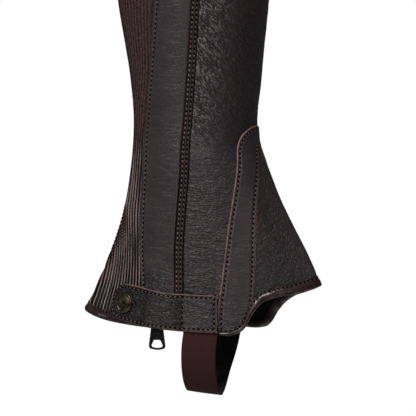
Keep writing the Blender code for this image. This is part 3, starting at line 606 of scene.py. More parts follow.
# painted shade: a black bead stands for the shade inside a needle hole
def needle_hole():
    finish = Finish("needle_hole", roughness=0.95, specular_ior_level=0.02)
    depth = finish.noise(finish.solid(), 1.0 / (0.4 * MM), 1.0)
    finish.colour(finish.mix(depth, (0.0008, 0.0006, 0.0006), (0.0030, 0.0022, 0.0020)))
    return finish.material


BINDING_LEATHER = glossy_binding()
ELASTIC = ribbed_elastic()
WEBBING = woven("webbing_brown", (0.0145, 0.0042, 0.0042), (0.038, 0.0125, 0.0122))
WEBBING_BACK = woven("webbing_black", (0.0120, 0.0120, 0.0138), (0.0300, 0.0295, 0.0330))
TAPE = woven("zip_tape", (0.0030, 0.0026, 0.0026), (0.0085, 0.0075, 0.0072), cord=0.8)
THREAD = spun_thread("brown_thread", (0.045, 0.023, 0.019), (0.160, 0.092, 0.072))
PALE_THREAD = spun_thread("pale_thread", (0.046, 0.022, 0.019), (0.165, 0.093, 0.082))
DARK_THREAD = spun_thread("dark_thread", (0.020, 0.0060, 0.0055), (0.080, 0.030, 0.026))
HOLE_SHADE = needle_hole()

# %% [markdown]
# The metal is of two kinds: black enamel on the slider and pull, and brass on the snap that was darkened and
# has worn bright in patches. Neither is even, so both colour and gloss follow a noise. The zip's coil is
# black plastic.

# %% Metals and coil
def enamel():
    finish = Finish("black_enamel", ior=1.5, specular_ior_level=0.2, coat_weight=0.15, coat_roughness=0.12)
    speck = finish.noise(finish.solid(), 1.0 / (1.5 * MM), 2.0)
    finish.colour(finish.mix(speck, (0.0016, 0.0016, 0.0018), (0.0045, 0.0043, 0.0045)))
    finish.roughness(speck * 0.15 + 0.26)
    return finish.material


def antique_brass():
    finish = Finish("antique_brass", metallic=0.9)
    place = finish.solid()
    patina = finish.noise(place, 1.0 / (2.6 * MM), 4.0, 0.65).between(0.36, 0.66)
    speck = finish.noise(place, 1.0 / (0.9 * MM), 3.0, 0.6)
    finish.colour(finish.mix(patina * 0.8 + speck * 0.2, (0.0080, 0.0065, 0.0034), (0.104, 0.086, 0.050)))
    finish.roughness(speck * 0.24 + patina * 0.08 + 0.17)
    finish.relief((speck, 0.10))
    return finish.material


def coil_plastic():
    finish = Finish("zip_coil", ior=1.5)
    speck = finish.noise(finish.solid(), 1.0 / (0.9 * MM), 2.0)
    finish.colour(finish.mix(speck, (0.0030, 0.0030, 0.0030), (0.0070, 0.0066, 0.0066)))
    finish.roughness(speck * 0.2 + 0.3)
    return finish.material


ENAMEL = enamel()
BRASS = antique_brass()
COIL = coil_plastic()
print("materials", len(bpy.data.materials))

# %% [markdown]
# ## Cutting a piece
# Every sheet is a net of rows and columns laid on the leg: arrays of wrap, height and distance out.
# `net_mesh` makes it a mesh, with the flat piece's own millimetres as a UV map for the grain. `cut` lays it
# and gives it thickness inwards. The columns near an edge stand at set distances from it, close together, so
# that a raw edge can slope and a line of stitches can sink. Cloth simulation would drape such a piece too,
# but here the finished form is known.

# %% Rows, columns, and a piece between two lines
SEAM_GAP = 0.3
FOLD_GAP = 1.6  # from the lower and upper edges to the pieces' raw edges inside the binding
MARGIN = np.array([0.0, 0.3, 0.65, 1.0, 1.5, 2.0, 2.5, 3.0, 3.6])  # distances of the columns beside an edge
RAW = 0.9  # width of the sloping raw edge
STITCH_IN = 2.6  # from a raw edge to its row of stitches
SETTLING = 8  # rounds in which a row's wrap and height settle, as each depends on the other


def columns(inner, left=True, right=True):
    """Shares of the width and offsets in millimetres for columns, dense at the edges asked for."""
    start, end = (MARGIN[-1] if side else 0.0 for side in (left, right))
    share = np.linspace(0.0, 1.0, inner + 1)
    head, tail = (MARGIN[:-1] if side else MARGIN[:0] for side in (left, right))
    return (np.concatenate([head * 0.0, share, tail * 0.0 + 1.0]),
            np.concatenate([head, lerp(start, -end, share), -tail[::-1]]))


def rows_of_height(step, upper_step, start=0.0, end=1.0, change=0.58):
    """Shares of the height for rows, close together where the eye comes near and wider above."""
    low = np.linspace(start, min(change, end), int((min(change, end) - start) * TOP / step) + 1)
    if end <= change:
        return low
    return np.concatenate([low, np.linspace(change, end, int((end - change) * TOP / upper_step) + 1)[1:]])


def steepness(wrap):
    """Height that a band along the lower edge takes for each millimetre of its width."""
    half_step = 0.01
    rise = hem_height(wrap + half_step) - hem_height(wrap - half_step)
    return np.hypot(1.0, rise / (2.0 * half_step * half_girth(hem_height(wrap))))


def lowest(wrap):
    return hem_height(wrap) + FOLD_GAP * steepness(wrap)


def laid(share, across, line):
    """Wraps and heights of a long piece whose edges line(0, height) and line(1, height) give, and each point's
    distances from those edges in millimetres."""
    along, offset = (values[None, :] for values in across)
    share = share[:, None]
    height = share * TOP + along * 0.0
    for _ in range(SETTLING):
        wrap = line(along, height) - offset / half_girth(height)
        low = lowest(wrap)
        height = low + share * (TOP - FOLD_GAP - low)
    girth = half_girth(height)
    return wrap, height, (line(0.0, height) - wrap) * girth, (wrap - line(1.0, height)) * girth


# %% From a net of points to a sheet of leather
def net_mesh(name, points, flat, facing, looking=None):
    """A mesh of quads from rows and columns of points in millimetres, turned so that one of them looks the way
    that facing gives: the quad at looking's row and column, or else the middle one."""
    rows, count = points.shape[:2]
    index = np.arange(rows * count).reshape(rows, count)
    quads = np.stack([index[:-1, :-1], index[:-1, 1:], index[1:, 1:], index[1:, :-1]], axis=-1).reshape(-1, 4)
    mesh = bpy.data.meshes.new(name)
    mesh.from_pydata((points.reshape(-1, 3) - (0.0, 0.0, CALF)) * MM, [], quads)
    layer = mesh.uv_layers.new(name="flat")
    layer.data.foreach_set("uv", (flat.reshape(-1, 2)[quads.ravel()] * MM).ravel())
    row, column = looking or (rows // 2, count // 2)
    if mesh.polygons[row * (count - 1) + column].normal.dot(Vector(facing)) < 0.0:
        mesh.flip_normals()
    mesh.shade_smooth()
    return mesh


def add_object(mesh):
    made = bpy.data.objects.new(mesh.name, mesh)
    bpy.context.scene.collection.objects.link(made)
    return made


def cut_size(points):
    """Greatest width, greatest length and area of a net of points, in metres."""
    across = np.linalg.norm(np.diff(points, axis=1), axis=-1)
    along = np.linalg.norm(np.diff(points, axis=0), axis=-1)
    faces = (across[:-1] + across[1:]) * (along[:, :-1] + along[:, 1:]) / 4.0
    return [float(across.sum(1).max()) * MM, float(along.sum(0).max()) * MM, float(faces.sum()) * MM**2]


def corner_mean(values):
    return (values[:-1, :-1] + values[1:, :-1] + values[:-1, 1:] + values[1:, 1:]) / 4.0


def sheet(mesh, points, finishes, thickness):
    """A sheet from a net's mesh, in the finishes of its face, its back and its rim, and its thickness behind
    the face."""
    for finish in finishes:
        mesh.materials.append(finish)
    made = add_object(mesh)
    made["cut"] = cut_size(points)
    wall = made.modifiers.new("thickness", "SOLIDIFY")
    wall.thickness = thickness * MM
    wall.offset = -1.0
    wall.material_offset, wall.material_offset_rim = 1, 2
    return made


def cut(name, wrap, height, out, finishes, raw=None, thickness=LEATHER - 0.1):
    """A cut piece on the leg. raw is each point's distance from the nearest raw edge, if one shows."""
    points = on_leg(wrap, height, out)
    middle = wrap.shape[0] // 2, wrap.shape[1] // 2
    flat = np.stack([wrap * half_girth(height), height], axis=-1)
    mesh = net_mesh(name, points, flat, outward(wrap[middle], height[middle]))
    if raw is not None:
        mesh.polygons.foreach_set("material_index", np.where(corner_mean(raw) < RAW, 2, 0).ravel())
    return sheet(mesh, points, finishes, thickness)


# %% [markdown]
# A finished piece keeps no modifiers. `done` bakes them, puts the piece on the body that carries it, and hides
# the construction solids that it stands for. For cloth, it prints how large the piece was cut.

# %% Handing a piece to the frame
def bake(made):
    """Turn a shaped object into a plain mesh."""
    bpy.context.view_layer.update()
    graph = bpy.context.evaluated_depsgraph_get()
    shaped = made.evaluated_get(graph)
    mesh = bpy.data.meshes.new_from_object(shaped, preserve_all_data_layers=True, depsgraph=graph)
    mesh.name = made.name
    made.modifiers.clear()
    made.data = mesh
    return made


def done(made, slot, *nodes, body="chap"):
    bake(made)
    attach(made, body)
    if nodes:
        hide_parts(*nodes)
    size = []
    if "cut" in made:
        width, length, area = made["cut"]
        min(area, width * length)
        size = [round(width, 4), round(length, 4), round(area, 5)]
        del made["cut"]
    print(made.name, len(made.data.polygons), "faces", *size)
    return made


# %% [markdown]
# ## Leather that has been worn
# Close to an edge the leather slopes away and shows its cut fibres, then dips where the thread pulls it down.
# The panels themselves have slow dents, and soft waves that run round the leg, which the pebbled grain then
# covers. They are in the mesh and not only in the finish, so that the outline and the soft lights show them
# too.

# %% Relief of the leather
def edge_slope(distance, depth=0.75):
    """How far the face falls at a distance from a raw edge."""
    return -depth * np.clip(1.0 - distance / RAW, 0.0, 1.0) ** 1.4


def stitch_dip(distance, depth=0.35, width=0.8):
    """The dip of a row of stitches, by distance from it, and the leather that it pushes up beside it."""
    return -depth * bell(distance, width) + 0.3 * depth * bell(np.abs(distance) - 2.2 * width, width)


DENT = (42.0, 58.0)  # sizes in millimetres
WAVE, CREASE = (17.0, 4.6), (24.0, 9.0)


def worn(wrap, height, seed, slow=0.45, waves=0.10, turn=0.0):
    """Dents as deep as slow, and waves and creases as deep as waves, at a slant in degrees."""
    u, v = wrap * half_girth(height), height
    dents = slow * hills(u / DENT[0], v / DENT[1], seed)
    return (dents + waves * stretched_hills(u, v, *WAVE, turn, seed + 10)
            - waves * creases(u, v, *CREASE, turn, seed + 20))


# %% [markdown]
# ## Main panel
# One large cut piece: it goes from the zip's front edge round the toe side to the inner seam, and is open
# below for the tongue. It is made as a net between four lines, the two sides of the tongue's opening being
# the middle ones, and the faces of the opening are then removed. Its front edge is turned in beside the zip,
# so it ends in a soft roll. On the upper leg the waves run aslant, where the calf pulls the leather up and
# back.

# %% Main panel
INNER_SEAM = -0.80  # wrap
FACING = 5.6  # how wide the facing is where it shows
TONGUE_EDGE = np.array([
    # height  wrap of the seam between the tongue and the main panel
    (-20.0, 0.300), (20.0, 0.283), (55.0, 0.242), (77.0, 0.205), (99.0, 0.153), (117.0, 0.103),
    (128.0, 0.068), (140.0, 0.038), (150.0, 0.035), (160.0, 0.035), (430.0, 0.035),
])
TONGUE_TOP = 0.262  # as a share of the height
OPENING = (0.4, 0.5)  # its two sides, as shares of the main panel's width


def tongue_edge(height):
    return read_smooth(TONGUE_EDGE, height)[..., 0]


def main_lines(along, height):
    """The zip's front edge, the opening's two sides and the inner seam, and what lies between them."""
    girth = half_girth(height)
    edge = tongue_edge(height) + SEAM_GAP / girth
    front = cover_edges(height)[1] - (FACING + SEAM_GAP) / girth
    first, second = OPENING
    outer = lerp(front, edge, np.clip(along / first, 0.0, 1.0))
    return np.select([along <= first, along <= second],
                     [outer, lerp(edge, -edge, (along - first) / (second - first))],
                     lerp(-edge, INNER_SEAM, (along - second) / (1.0 - second)))


def roll(distance, depth=1.0, width=1.6):
    """A turned edge: the face rounds down in a quarter circle."""
    near = np.clip(1.0 - distance / width, 0.0, 1.0)
    return -depth * (1.0 - np.sqrt(1.0 - near**2 * 0.98))


def make_main_panel():
    share = rows_of_height(1.15, 2.2)
    across = columns(110)
    wrap, height, behind, ahead = laid(share, across, main_lines)
    slant = 45.0 * soft_step(height, 110.0, 190.0)
    relief = worn(wrap, height, 3, turn=slant, waves=0.13)
    calm = soft_step(np.minimum(behind, ahead), 0.0, 8.0)
    out = LEATHER + relief * calm + roll(behind) + roll(ahead)
    made = cut("main_panel_leather", wrap, height, out, (GRAIN, BACK, BACK))
    middle = corner_mean(np.broadcast_to(across[0], wrap.shape))
    up = corner_mean(np.broadcast_to(share[:, None], wrap.shape))
    opening = (middle > OPENING[0]) & (middle < OPENING[1]) & (up < TONGUE_TOP)
    mesh = bmesh.new()
    mesh.from_mesh(made.data)
    mesh.faces.ensure_lookup_table()
    bmesh.ops.delete(mesh, geom=[mesh.faces[i] for i in np.flatnonzero(opening.ravel())], context="FACES")
    mesh.to_mesh(made.data)
    mesh.free()
    return made


done(make_main_panel(), "leather", "main_panel")

# %% [markdown]
# ## Tongue
# A flared gusset over the instep, folded along its middle, which is the line that stands out to the toe. The
# fold is in the form already, so the tongue is a plain net between its two seams. Its sides are under the
# reinforcement.

# %% Tongue
def make_tongue():
    def line(along, height):
        return lerp(1.0, -1.0, along) * tongue_edge(height)

    rows = rows_of_height(1.3, 1.3, end=TONGUE_TOP - 0.001)
    wrap, height, _, _ = laid(rows, columns(84, False, False), line)
    fold = bell(wrap * half_girth(height), 9.0)
    out = LEATHER + worn(wrap, height, 41, slow=0.7, waves=0.08, turn=-35.0) * (1.0 - 0.7 * fold)
    out = out - 0.3 * (1.0 - soft_step(height - lowest(wrap), 4.0, 11.0))
    return cut("tongue_leather_piece", wrap, height, out, (TONGUE_LEATHER, BACK, BACK))


done(make_tongue(), "leather", "tongue")

# %% [markdown]
# ## Stretch panel
# The back of the chap is elastic pleated into narrow ribs that all run from hem to top, so they are finer at
# the ankle than at the calf. They lie further apart where the panel turns at the heel. Modelling each would
# be slow, and a texture of even stripes couldn't follow them, so every point of the net keeps its count of
# ribs. A small node tree moves the point out by a rounded wave of that count, and keeps the wave as `crest`
# for the finish. Above the ankle the ribs are lower and less regular, because the fabric is pulled open
# there. At the heel the panel flares a little just above its binding.

# %% Trees for shapes
def shape_tree(name, inputs):
    """An empty Geometry Nodes tree with named inputs. Returns it with its incoming values by name."""
    group = bpy.data.node_groups.new(name, "GeometryNodeTree")
    group.interface.new_socket("Geometry", in_out="INPUT", socket_type="NodeSocketGeometry")
    for label, kind in inputs.items():
        group.interface.new_socket(label, in_out="INPUT", socket_type=kind)
    group.interface.new_socket("Geometry", in_out="OUTPUT", socket_type="NodeSocketGeometry")
    tree = Tree(group)
    coming = group.nodes.new("NodeGroupInput")
    return tree, {socket.name: Value(tree, socket) for socket in coming.outputs if socket.name}


def close_tree(tree, geometry, finish):
    """End a tree: real geometry in its finish."""
    real = tree.node("GeometryNodeRealizeInstances", None, {0: geometry})
    painted = tree.node("GeometryNodeSetMaterial", None, {"Geometry": real, "Material": finish})
    leaving = tree.group.nodes.new("NodeGroupOutput")
    tree.named(leaving.inputs[0], painted)


def run_tree(made, tree, **values):
    """Put a tree on an object, with its inputs set."""
    modifier = made.modifiers.new(tree.group.name, "NODES")
    modifier.node_group = tree.group
    for socket in tree.group.interface.items_tree:
        if socket.item_type == "SOCKET" and socket.in_out == "INPUT" and socket.name in values:
            modifier[socket.identifier] = values[socket.name]
    return made


def named_value(tree, name, kind="FLOAT"):
    return tree.node("GeometryNodeInputNamedAttribute", {"data_type": kind}, {"Name": name})


def add_values(mesh, name, values, kind="FLOAT"):
    """Leave a number, or a vector, on every point of a mesh."""
    layer = mesh.attributes.new(name, kind, "POINT")
    layer.data.foreach_set("value" if kind == "FLOAT" else "vector", np.ravel(values))


# %% The ribs' tree
def ribs_tree(finish):
    """Raise ribs of a height in metres. Their width is a power: the higher it is, the narrower they are."""
    tree, coming = shape_tree("ribs", {"Height": "NodeSocketFloat", "Width": "NodeSocketFloat"})
    turns = named_value(tree, "ribs") * (2.0 * pi)
    wave = turns.maths("COSINE") * 0.5 + 0.5
    crest = wave ** coming["Width"]
    rise = (crest - 0.55) * coming["Height"] * named_value(tree, "swell")
    offset = tree.node("ShaderNodeVectorMath", {"operation": "SCALE"},
                       {0: named_value(tree, "out", "FLOAT_VECTOR"), "Scale": rise})
    moved = tree.node("GeometryNodeSetPosition", None, {"Geometry": coming["Geometry"], "Offset": offset})
    kept = tree.node("GeometryNodeStoreNamedAttribute", {"data_type": "FLOAT", "domain": "POINT"},
                     {"Geometry": moved, "Name": "crest", "Value": crest * named_value(tree, "swell")})
    close_tree(tree, kept, finish)
    return tree


# %% Where the ribs lie
RIBS, RIB_COLUMNS = 28, 9  # and the net's columns for each rib
RIB_TALL, RIB_NARROW = 1.7, 2.8  # in millimetres, and as the power that narrows them
ELASTIC_TUCK = 7.0  # how far the panel reaches under the cover
HEEL_TURN = np.array([
    # height  where the panel turns at the heel, as a share of its width
    (15.0, 0.40), (60.0, 0.47), (90.0, 0.52), (150.0, 0.575),
])
BACK_SHADE_FROM = np.array([
    # height  wrap from which painted shade keeps the ridges at the back a plain dark red
    (25.0, 0.984), (40.0, 0.960), (62.0, 0.928), (90.0, 0.898), (130.0, 0.862),
])
WAIST_STARTS, WAIST_ENDS = (45.0, 95.0), (160.0, 225.0)  # heights over which the ribs shift, and shift back
HEEL_SPARE, COVER_SPARE = 0.66, 0.5  # by what share the ribs are fewer at the heel, and beside the cover
PULLED_OPEN = (115.0, 178.0)  # heights between which the fabric gets as open as it is above
OPEN_RIBS = 0.42  # how tall the ribs stay where it is open, as a share
FLARE = 0.7  # how far out the panel stands over the binding's edge at the heel


def elastic_line(along, height):
    front = cover_edges(height)[0] - ELASTIC_TUCK / half_girth(height)
    inner = 2.0 + INNER_SEAM - SEAM_GAP / half_girth(height)
    return lerp(inner, front, along)


def rib_count(share, height, u):
    """Each point's count of ribs: how densely they lie, summed along the row from the inner seam on."""
    waist = soft_step(height, *WAIST_STARTS) * (1.0 - soft_step(height, *WAIST_ENDS))
    at_heel = bell(share - read(HEEL_TURN, height), 0.17)
    dense = (1.0 - HEEL_SPARE * at_heel) * (1.0 - COVER_SPARE * waist * soft_step(share, 0.3, 0.55))
    count = np.cumsum(dense, axis=1) - dense[:, :1]
    count = lerp(count / count[:, -1:], share, soft_step(height, *WAIST_ENDS))
    sway = 0.35 * stretched_hills(u, height, 60.0, 9.0, 90.0, 71) * soft_step(height, 90.0, 150.0)
    return count * RIBS + sway


print("ribs", RIBS, "on", RIBS * RIB_COLUMNS + 1, "columns")

# %% The panel
def make_elastic():
    across = columns(RIBS * RIB_COLUMNS, False, False)
    wrap, height, _, ahead = laid(rows_of_height(2.0, 4.0), across, elastic_line)
    share = np.broadcast_to(across[0], wrap.shape)
    u = wrap * half_girth(height)
    above = height - hem_height(wrap)
    count = rib_count(share, height, u)
    open_ribs = lerp(1.0, OPEN_RIBS, soft_step(height, *PULLED_OPEN))
    swell = open_ribs * (1.0 + 0.3 * hills(count * 0.9, height / 26.0, 72))
    flare = FLARE * bell(share - 0.40, 0.2) * soft_step(above, 5.5, 8.5) * (1.0 - soft_step(above, 8.5, 15.0))
    out = LEATHER + 0.25 * hills(u / 30.0, height / 60.0, 73) - 0.15 + flare
    made = cut("elastic_ribs", wrap, height, out, (ELASTIC, ELASTIC, ELASTIC), thickness=0.8)
    # painted shade: no painted highlight on the ridges at the heel's outline, and less beside the cover's edge
    back = read(BACK_SHADE_FROM, height)
    at_back = soft_step(folded(wrap), back, back + 0.025)
    at_cover = (1.0 - soft_step(ahead, ELASTIC_TUCK, ELASTIC_TUCK + 2.5)) * soft_step(height, 90.0, 150.0)
    calm = (1.0 - 0.6 * bell(share - read(HEEL_TURN, height), 0.06)) * soft_step(above, 4.0, 8.5)
    add_values(made.data, "ribs", count)
    add_values(made.data, "swell", swell)
    add_values(made.data, "painted_shade_mix", (1.0 - at_back) * (1.0 - 0.8 * at_cover))
    add_values(made.data, "out", outward(wrap, height) * calm[..., None], "FLOAT_VECTOR")
    run_tree(made, RIBS_TREE, Height=RIB_TALL * MM, Width=RIB_NARROW)
    made.modifiers.move(1, 0)
    return made


RIBS_TREE = ribs_tree(ELASTIC)
done(make_elastic(), "elastic", "elastic_panel")

# %% [markdown]
# ## Strips beside the zip
# The cover strip is sewn down along its back edge only, and hides the zip. Its front edge is free, and near
# the ankle, where nothing pulls it tight, it stands up a little. In front of the zip runs the facing, a
# narrow strip that is stitched twice, with a smooth ridge between the two rows. It reaches a little under the
# cover. Both are nets between the zip's two lines, so they stay side by side from hem to top.

# %% Cover and facing
LIFT = 0.5  # between two layers
LAYER = LEATHER + LIFT
COVER_START = 0.046  # as a share of the height
COVER_STITCH_IN = 3.3
COVER_STANDS, COVER_BELLY = 1.6, 0.6
LOOSE_STARTS, LOOSE_ENDS = (38.0, 62.0), (90.0, 185.0)  # heights between which its free edge is loose
FACING_TUCK = 2.0
FACING_ROWS = (4.3, 1.45)  # rows of stitches, from the facing's front edge
TURNED_IN = 3.0  # of the facing's front edge


def cover_line(along, height):
    sewn, free = cover_edges(height)
    return lerp(sewn, free, along)


def make_cover():
    wrap, height, sewn, free = laid(rows_of_height(1.15, 2.2, start=COVER_START), columns(22), cover_line)
    relief = worn(wrap, height, 11, slow=0.35, waves=0.12) * soft_step(np.minimum(sewn, free), 2.0, 9.0)
    loose = soft_step(height, *LOOSE_STARTS) * (1.0 - soft_step(height, *LOOSE_ENDS))
    belly = (COVER_BELLY - 0.5 * loose) * np.sin(pi * free / (sewn + free))
    belly = belly + COVER_STANDS * loose * np.exp(-free / 7.0)
    out = LAYER + LEATHER + relief + belly + edge_slope(sewn, 0.5) + edge_slope(free, 0.5)
    out = out + stitch_dip(sewn - COVER_STITCH_IN, 0.45)
    # the free edge's dark band reaches 1.5 mm in, wider than a cut edge, as painted shade beside the facing
    return cut("zip_cover_leather", wrap, height, out, (COVER_LEATHER, BACK, DYED_SHADED_EDGE), raw=free * 0.6)


def facing_line(along, height):
    free, girth = cover_edges(height)[1], half_girth(height)
    return lerp(free + FACING_TUCK / girth, free - FACING / girth, along)


def make_facing():
    width = FACING + FACING_TUCK
    across = np.linspace(0.0, 1.0, 24), np.zeros(24)
    wrap, height, _, front = laid(rows_of_height(1.4, 2.6), across, facing_line)
    ridge = 0.85 * bell(front - sum(FACING_ROWS) / 2.0, 0.9)
    dips = sum(-0.4 * bell(front - row, 0.6) for row in FACING_ROWS)
    out = LEATHER + ridge + dips + roll(front, 0.9, 1.0) - 0.4 * soft_step(front, FACING - 0.6, width)
    made = cut("zip_facing_leather", wrap, height, out + 0.1, (SMOOTH, BACK, EDGE))
    width, length, area = made["cut"]
    made["cut"] = width + TURNED_IN * MM, length, area + TURNED_IN * MM * length
    return made


done(make_cover(), "smooth_leather", "zip_cover")
done(make_facing(), "smooth_leather", "zip_facing")

# %% [markdown]
# ## Ankle reinforcement
# An arch of smooth leather sewn on over the tongue's seams. A strip between two lines of height, like the
# others, couldn't turn over at the top, so its net runs up one leg of the arch, over the toe side and down
# the other leg, between the same two edge lines on both sides. Both edges are raw and stitched.

# %% Reinforcement
ARCH_OUTER = np.array([
    # share of the way up  wrap  height
    (0.00, 0.4055, 1.8), (0.16, 0.402, 26.0), (0.33, 0.3745, 54.0), (0.48, 0.328, 80.0),
    (0.62, 0.267, 106.0), (0.74, 0.216, 128.0), (0.80, 0.192, 138.2), (0.88, 0.142, 148.4),
    (0.94, 0.076, 153.4), (1.00, 0.000, 155.2),
])
ARCH_INNER = np.array([
    # share of the way up  wrap  height
    (0.00, 0.285, 16.5), (0.16, 0.272, 32.0), (0.33, 0.242, 55.0), (0.48, 0.205, 77.0),
    (0.62, 0.153, 99.0), (0.74, 0.103, 117.0), (0.80, 0.075, 126.0), (0.88, 0.045, 134.0),
    (0.94, 0.020, 138.5), (1.00, 0.000, 140.0),
])
ARCH_ROWS = 320
ARCH_LEVEL = 2.3  # its face: it is sewn down tight on the panel


def arch(up, inwards):
    """Wraps and heights at shares of the way over the arch, and their distances from its two edges. inwards is
    a pair: a share of its width, 0 at the outer edge and 1 at the inner one, and millimetres to add to that."""
    side = np.where(up < 0.5, 1.0, -1.0)
    share = 1.0 - np.abs(2.0 * up - 1.0) ** 1.15
    outer, inner = read_smooth(ARCH_OUTER, share), read_smooth(ARCH_INNER, share)
    girth = half_girth(outer[..., 1])
    width = np.hypot((outer[..., 0] - inner[..., 0]) * girth, outer[..., 1] - inner[..., 1])
    along, offset = inwards
    across = along + offset / width
    wrap, height = np.moveaxis(lerp(outer, inner, across[..., None]), -1, 0)
    clear = lowest(side * wrap)
    height = lerp(np.maximum(height, clear), clear, (1.0 - share) ** 6)
    return side * wrap, height, across * width, (1.0 - across) * width


def make_reinforcement():
    up = np.linspace(0.0, 1.0, ARCH_ROWS + 1)[:, None]
    wrap, height, outer, inner = arch(up, columns(15))
    edge = np.minimum(outer, inner)
    relief = worn(wrap, height, 21, slow=0.35, waves=0.10) * soft_step(edge, 2.0, 7.0)
    out = ARCH_LEVEL + relief + edge_slope(edge, 0.5) + stitch_dip(edge - STITCH_IN, 0.4)
    return cut("ankle_reinforcement", wrap, height, out, (OVERLAY_LEATHER, BACK, EDGE),
               raw=np.minimum(outer * (1.0 + 0.5 * (height < 30.0)), inner * 1.8), thickness=0.9)


done(make_reinforcement(), "smooth_leather", "ankle_overlay")

# %% [markdown]
# ## Snap tab
# A tab of the grained leather. Its front end is sewn down over the strap's end, in a square of stitches that
# pulls the leather into short wrinkles. From there it runs free over the zip's slider, dips, and snaps at its
# round end. Its raw edge shows all round, so its net has rows and columns at set distances from all four
# edges. The edge is pale in front and above; below and round the end, where it lies in shade, it is painted
# dark with the face's leather. Outside the square of stitches the tab has painted shade, most in its bends.

# %% The tab's outline and level
TAB_FRONT, TAB_BACK = 0.4078, 0.815
TAB_HEIGHT, TAB_WIDTH = 20.0, 29.0  # its middle, where its lengths are measured, and how wide it is
TAB_EDGES = np.array([
    # wrap  height of the lower edge  height of the upper edge
    (0.400, 2.0, 29.6), (0.47, 2.6, 30.0), (0.53, 3.2, 30.6), (0.59, 4.4, 31.4), (0.65, 5.8, 33.4),
    (0.72, 8.6, 36.0), (0.77, 10.8, 36.9), (0.83, 13.0, 36.6),
])
TAB_ROUND = 0.045  # how long its round end is, as a wrap
TAB_LEVELS = np.array([
    # wrap  height of the tab's back above the hollow: sewn down, over the slider, a dip, over the snap
    (0.400, 3.0), (0.520, 3.0), (0.548, 3.6), (0.580, 5.2), (0.635, 5.2), (0.668, 3.9), (0.690, 3.6),
    (0.715, 4.3), (0.770, 4.3), (0.800, 3.4), (0.830, 2.6),
])
TAB_STITCH_IN = 2.3
SQUARE_WRAP = 0.523  # where the square of stitches ends
FIRST_BEND, SECOND_BEND = 0.536, 0.672  # wraps where the tab bends up over the slider, and down into the dip
SNAP_WRAP, SNAP_HEIGHT, SNAP_RADIUS = 0.742, 22.7, 7.3


def tab_place(wrap, up):
    """Height on the tab at a share of its width, which is narrower towards its round end."""
    low, high = np.moveaxis(read_smooth(TAB_EDGES, wrap), -1, 0)
    into_end = np.clip(1.0 - (TAB_BACK - wrap) / TAB_ROUND, 0.0, 1.0)
    narrow = 1.0 - np.sqrt(1.0 - into_end**2 * 0.93)
    return (low + high) / 2.0 + (2.0 * up - 1.0) * (high - low) / 2.0 * (1.0 - narrow)


def drawn_forward(wrap, height):
    """How far the tab's wraps move so that its front edge follows the ankle reinforcement's edge."""
    beside = read(ARCH_OUTER[:, ::-1], height) + 0.05 / half_girth(height)
    near = np.clip(1.0 - (wrap - TAB_FRONT) / 0.10, 0.0, 1.0)
    return near * np.clip((height - 5.0) / 2.5, 0.0, 1.0) * (beside - TAB_FRONT)


def tab_outline(inset):
    """The tab's edge, or a line inside it, as flat points in millimetres from the lower front corner round."""
    wrap = TAB_FRONT + (TAB_BACK - TAB_FRONT) * (1.0 - (1.0 - np.linspace(0.0, 1.0, 240)) ** 1.7)
    girth = half_girth(TAB_HEIGHT)
    lower, upper = tab_place(wrap, 0.0), tab_place(wrap, 1.0)
    front = tab_place(TAB_FRONT, np.linspace(0.9, 0.0, 30))
    height = np.concatenate([lower, upper[::-1], front])
    wrap = np.concatenate([wrap, wrap[::-1], np.full(30, TAB_FRONT)])
    ring = np.stack([(wrap + drawn_forward(wrap, height)) * girth, height], axis=-1)
    step = np.gradient(ring, axis=0)
    inward = np.stack([-step[:, 1], step[:, 0]], axis=-1) / np.linalg.norm(step, axis=-1, keepdims=True)
    return ring + inward * inset


def distance_to_line(points, line):
    """Shortest distance from every point to a line of points, taken close together."""
    best = np.full(points.shape[:-1], np.inf)
    for start, end in zip(line[:-1], line[1:]):
        span = end - start
        share = np.clip(((points - start) @ span) / max(span @ span, 1e-9), 0.0, 1.0)
        best = np.minimum(best, np.linalg.norm(points - start - share[..., None] * span, axis=-1))
    return best


def tab_level(wrap):
    return read(TAB_LEVELS, wrap)


print("tab", round(float((TAB_BACK - TAB_FRONT) * half_girth(TAB_HEIGHT)), 1), "x", TAB_WIDTH, "mm")

# %% Snap tab
def between_raw_edges(length, count):
    """Distances from one raw edge to the other, close together near both."""
    even = np.linspace(MARGIN[-1], length - MARGIN[-1], count)
    return np.concatenate([MARGIN, even[1:-1], length - MARGIN[::-1]])


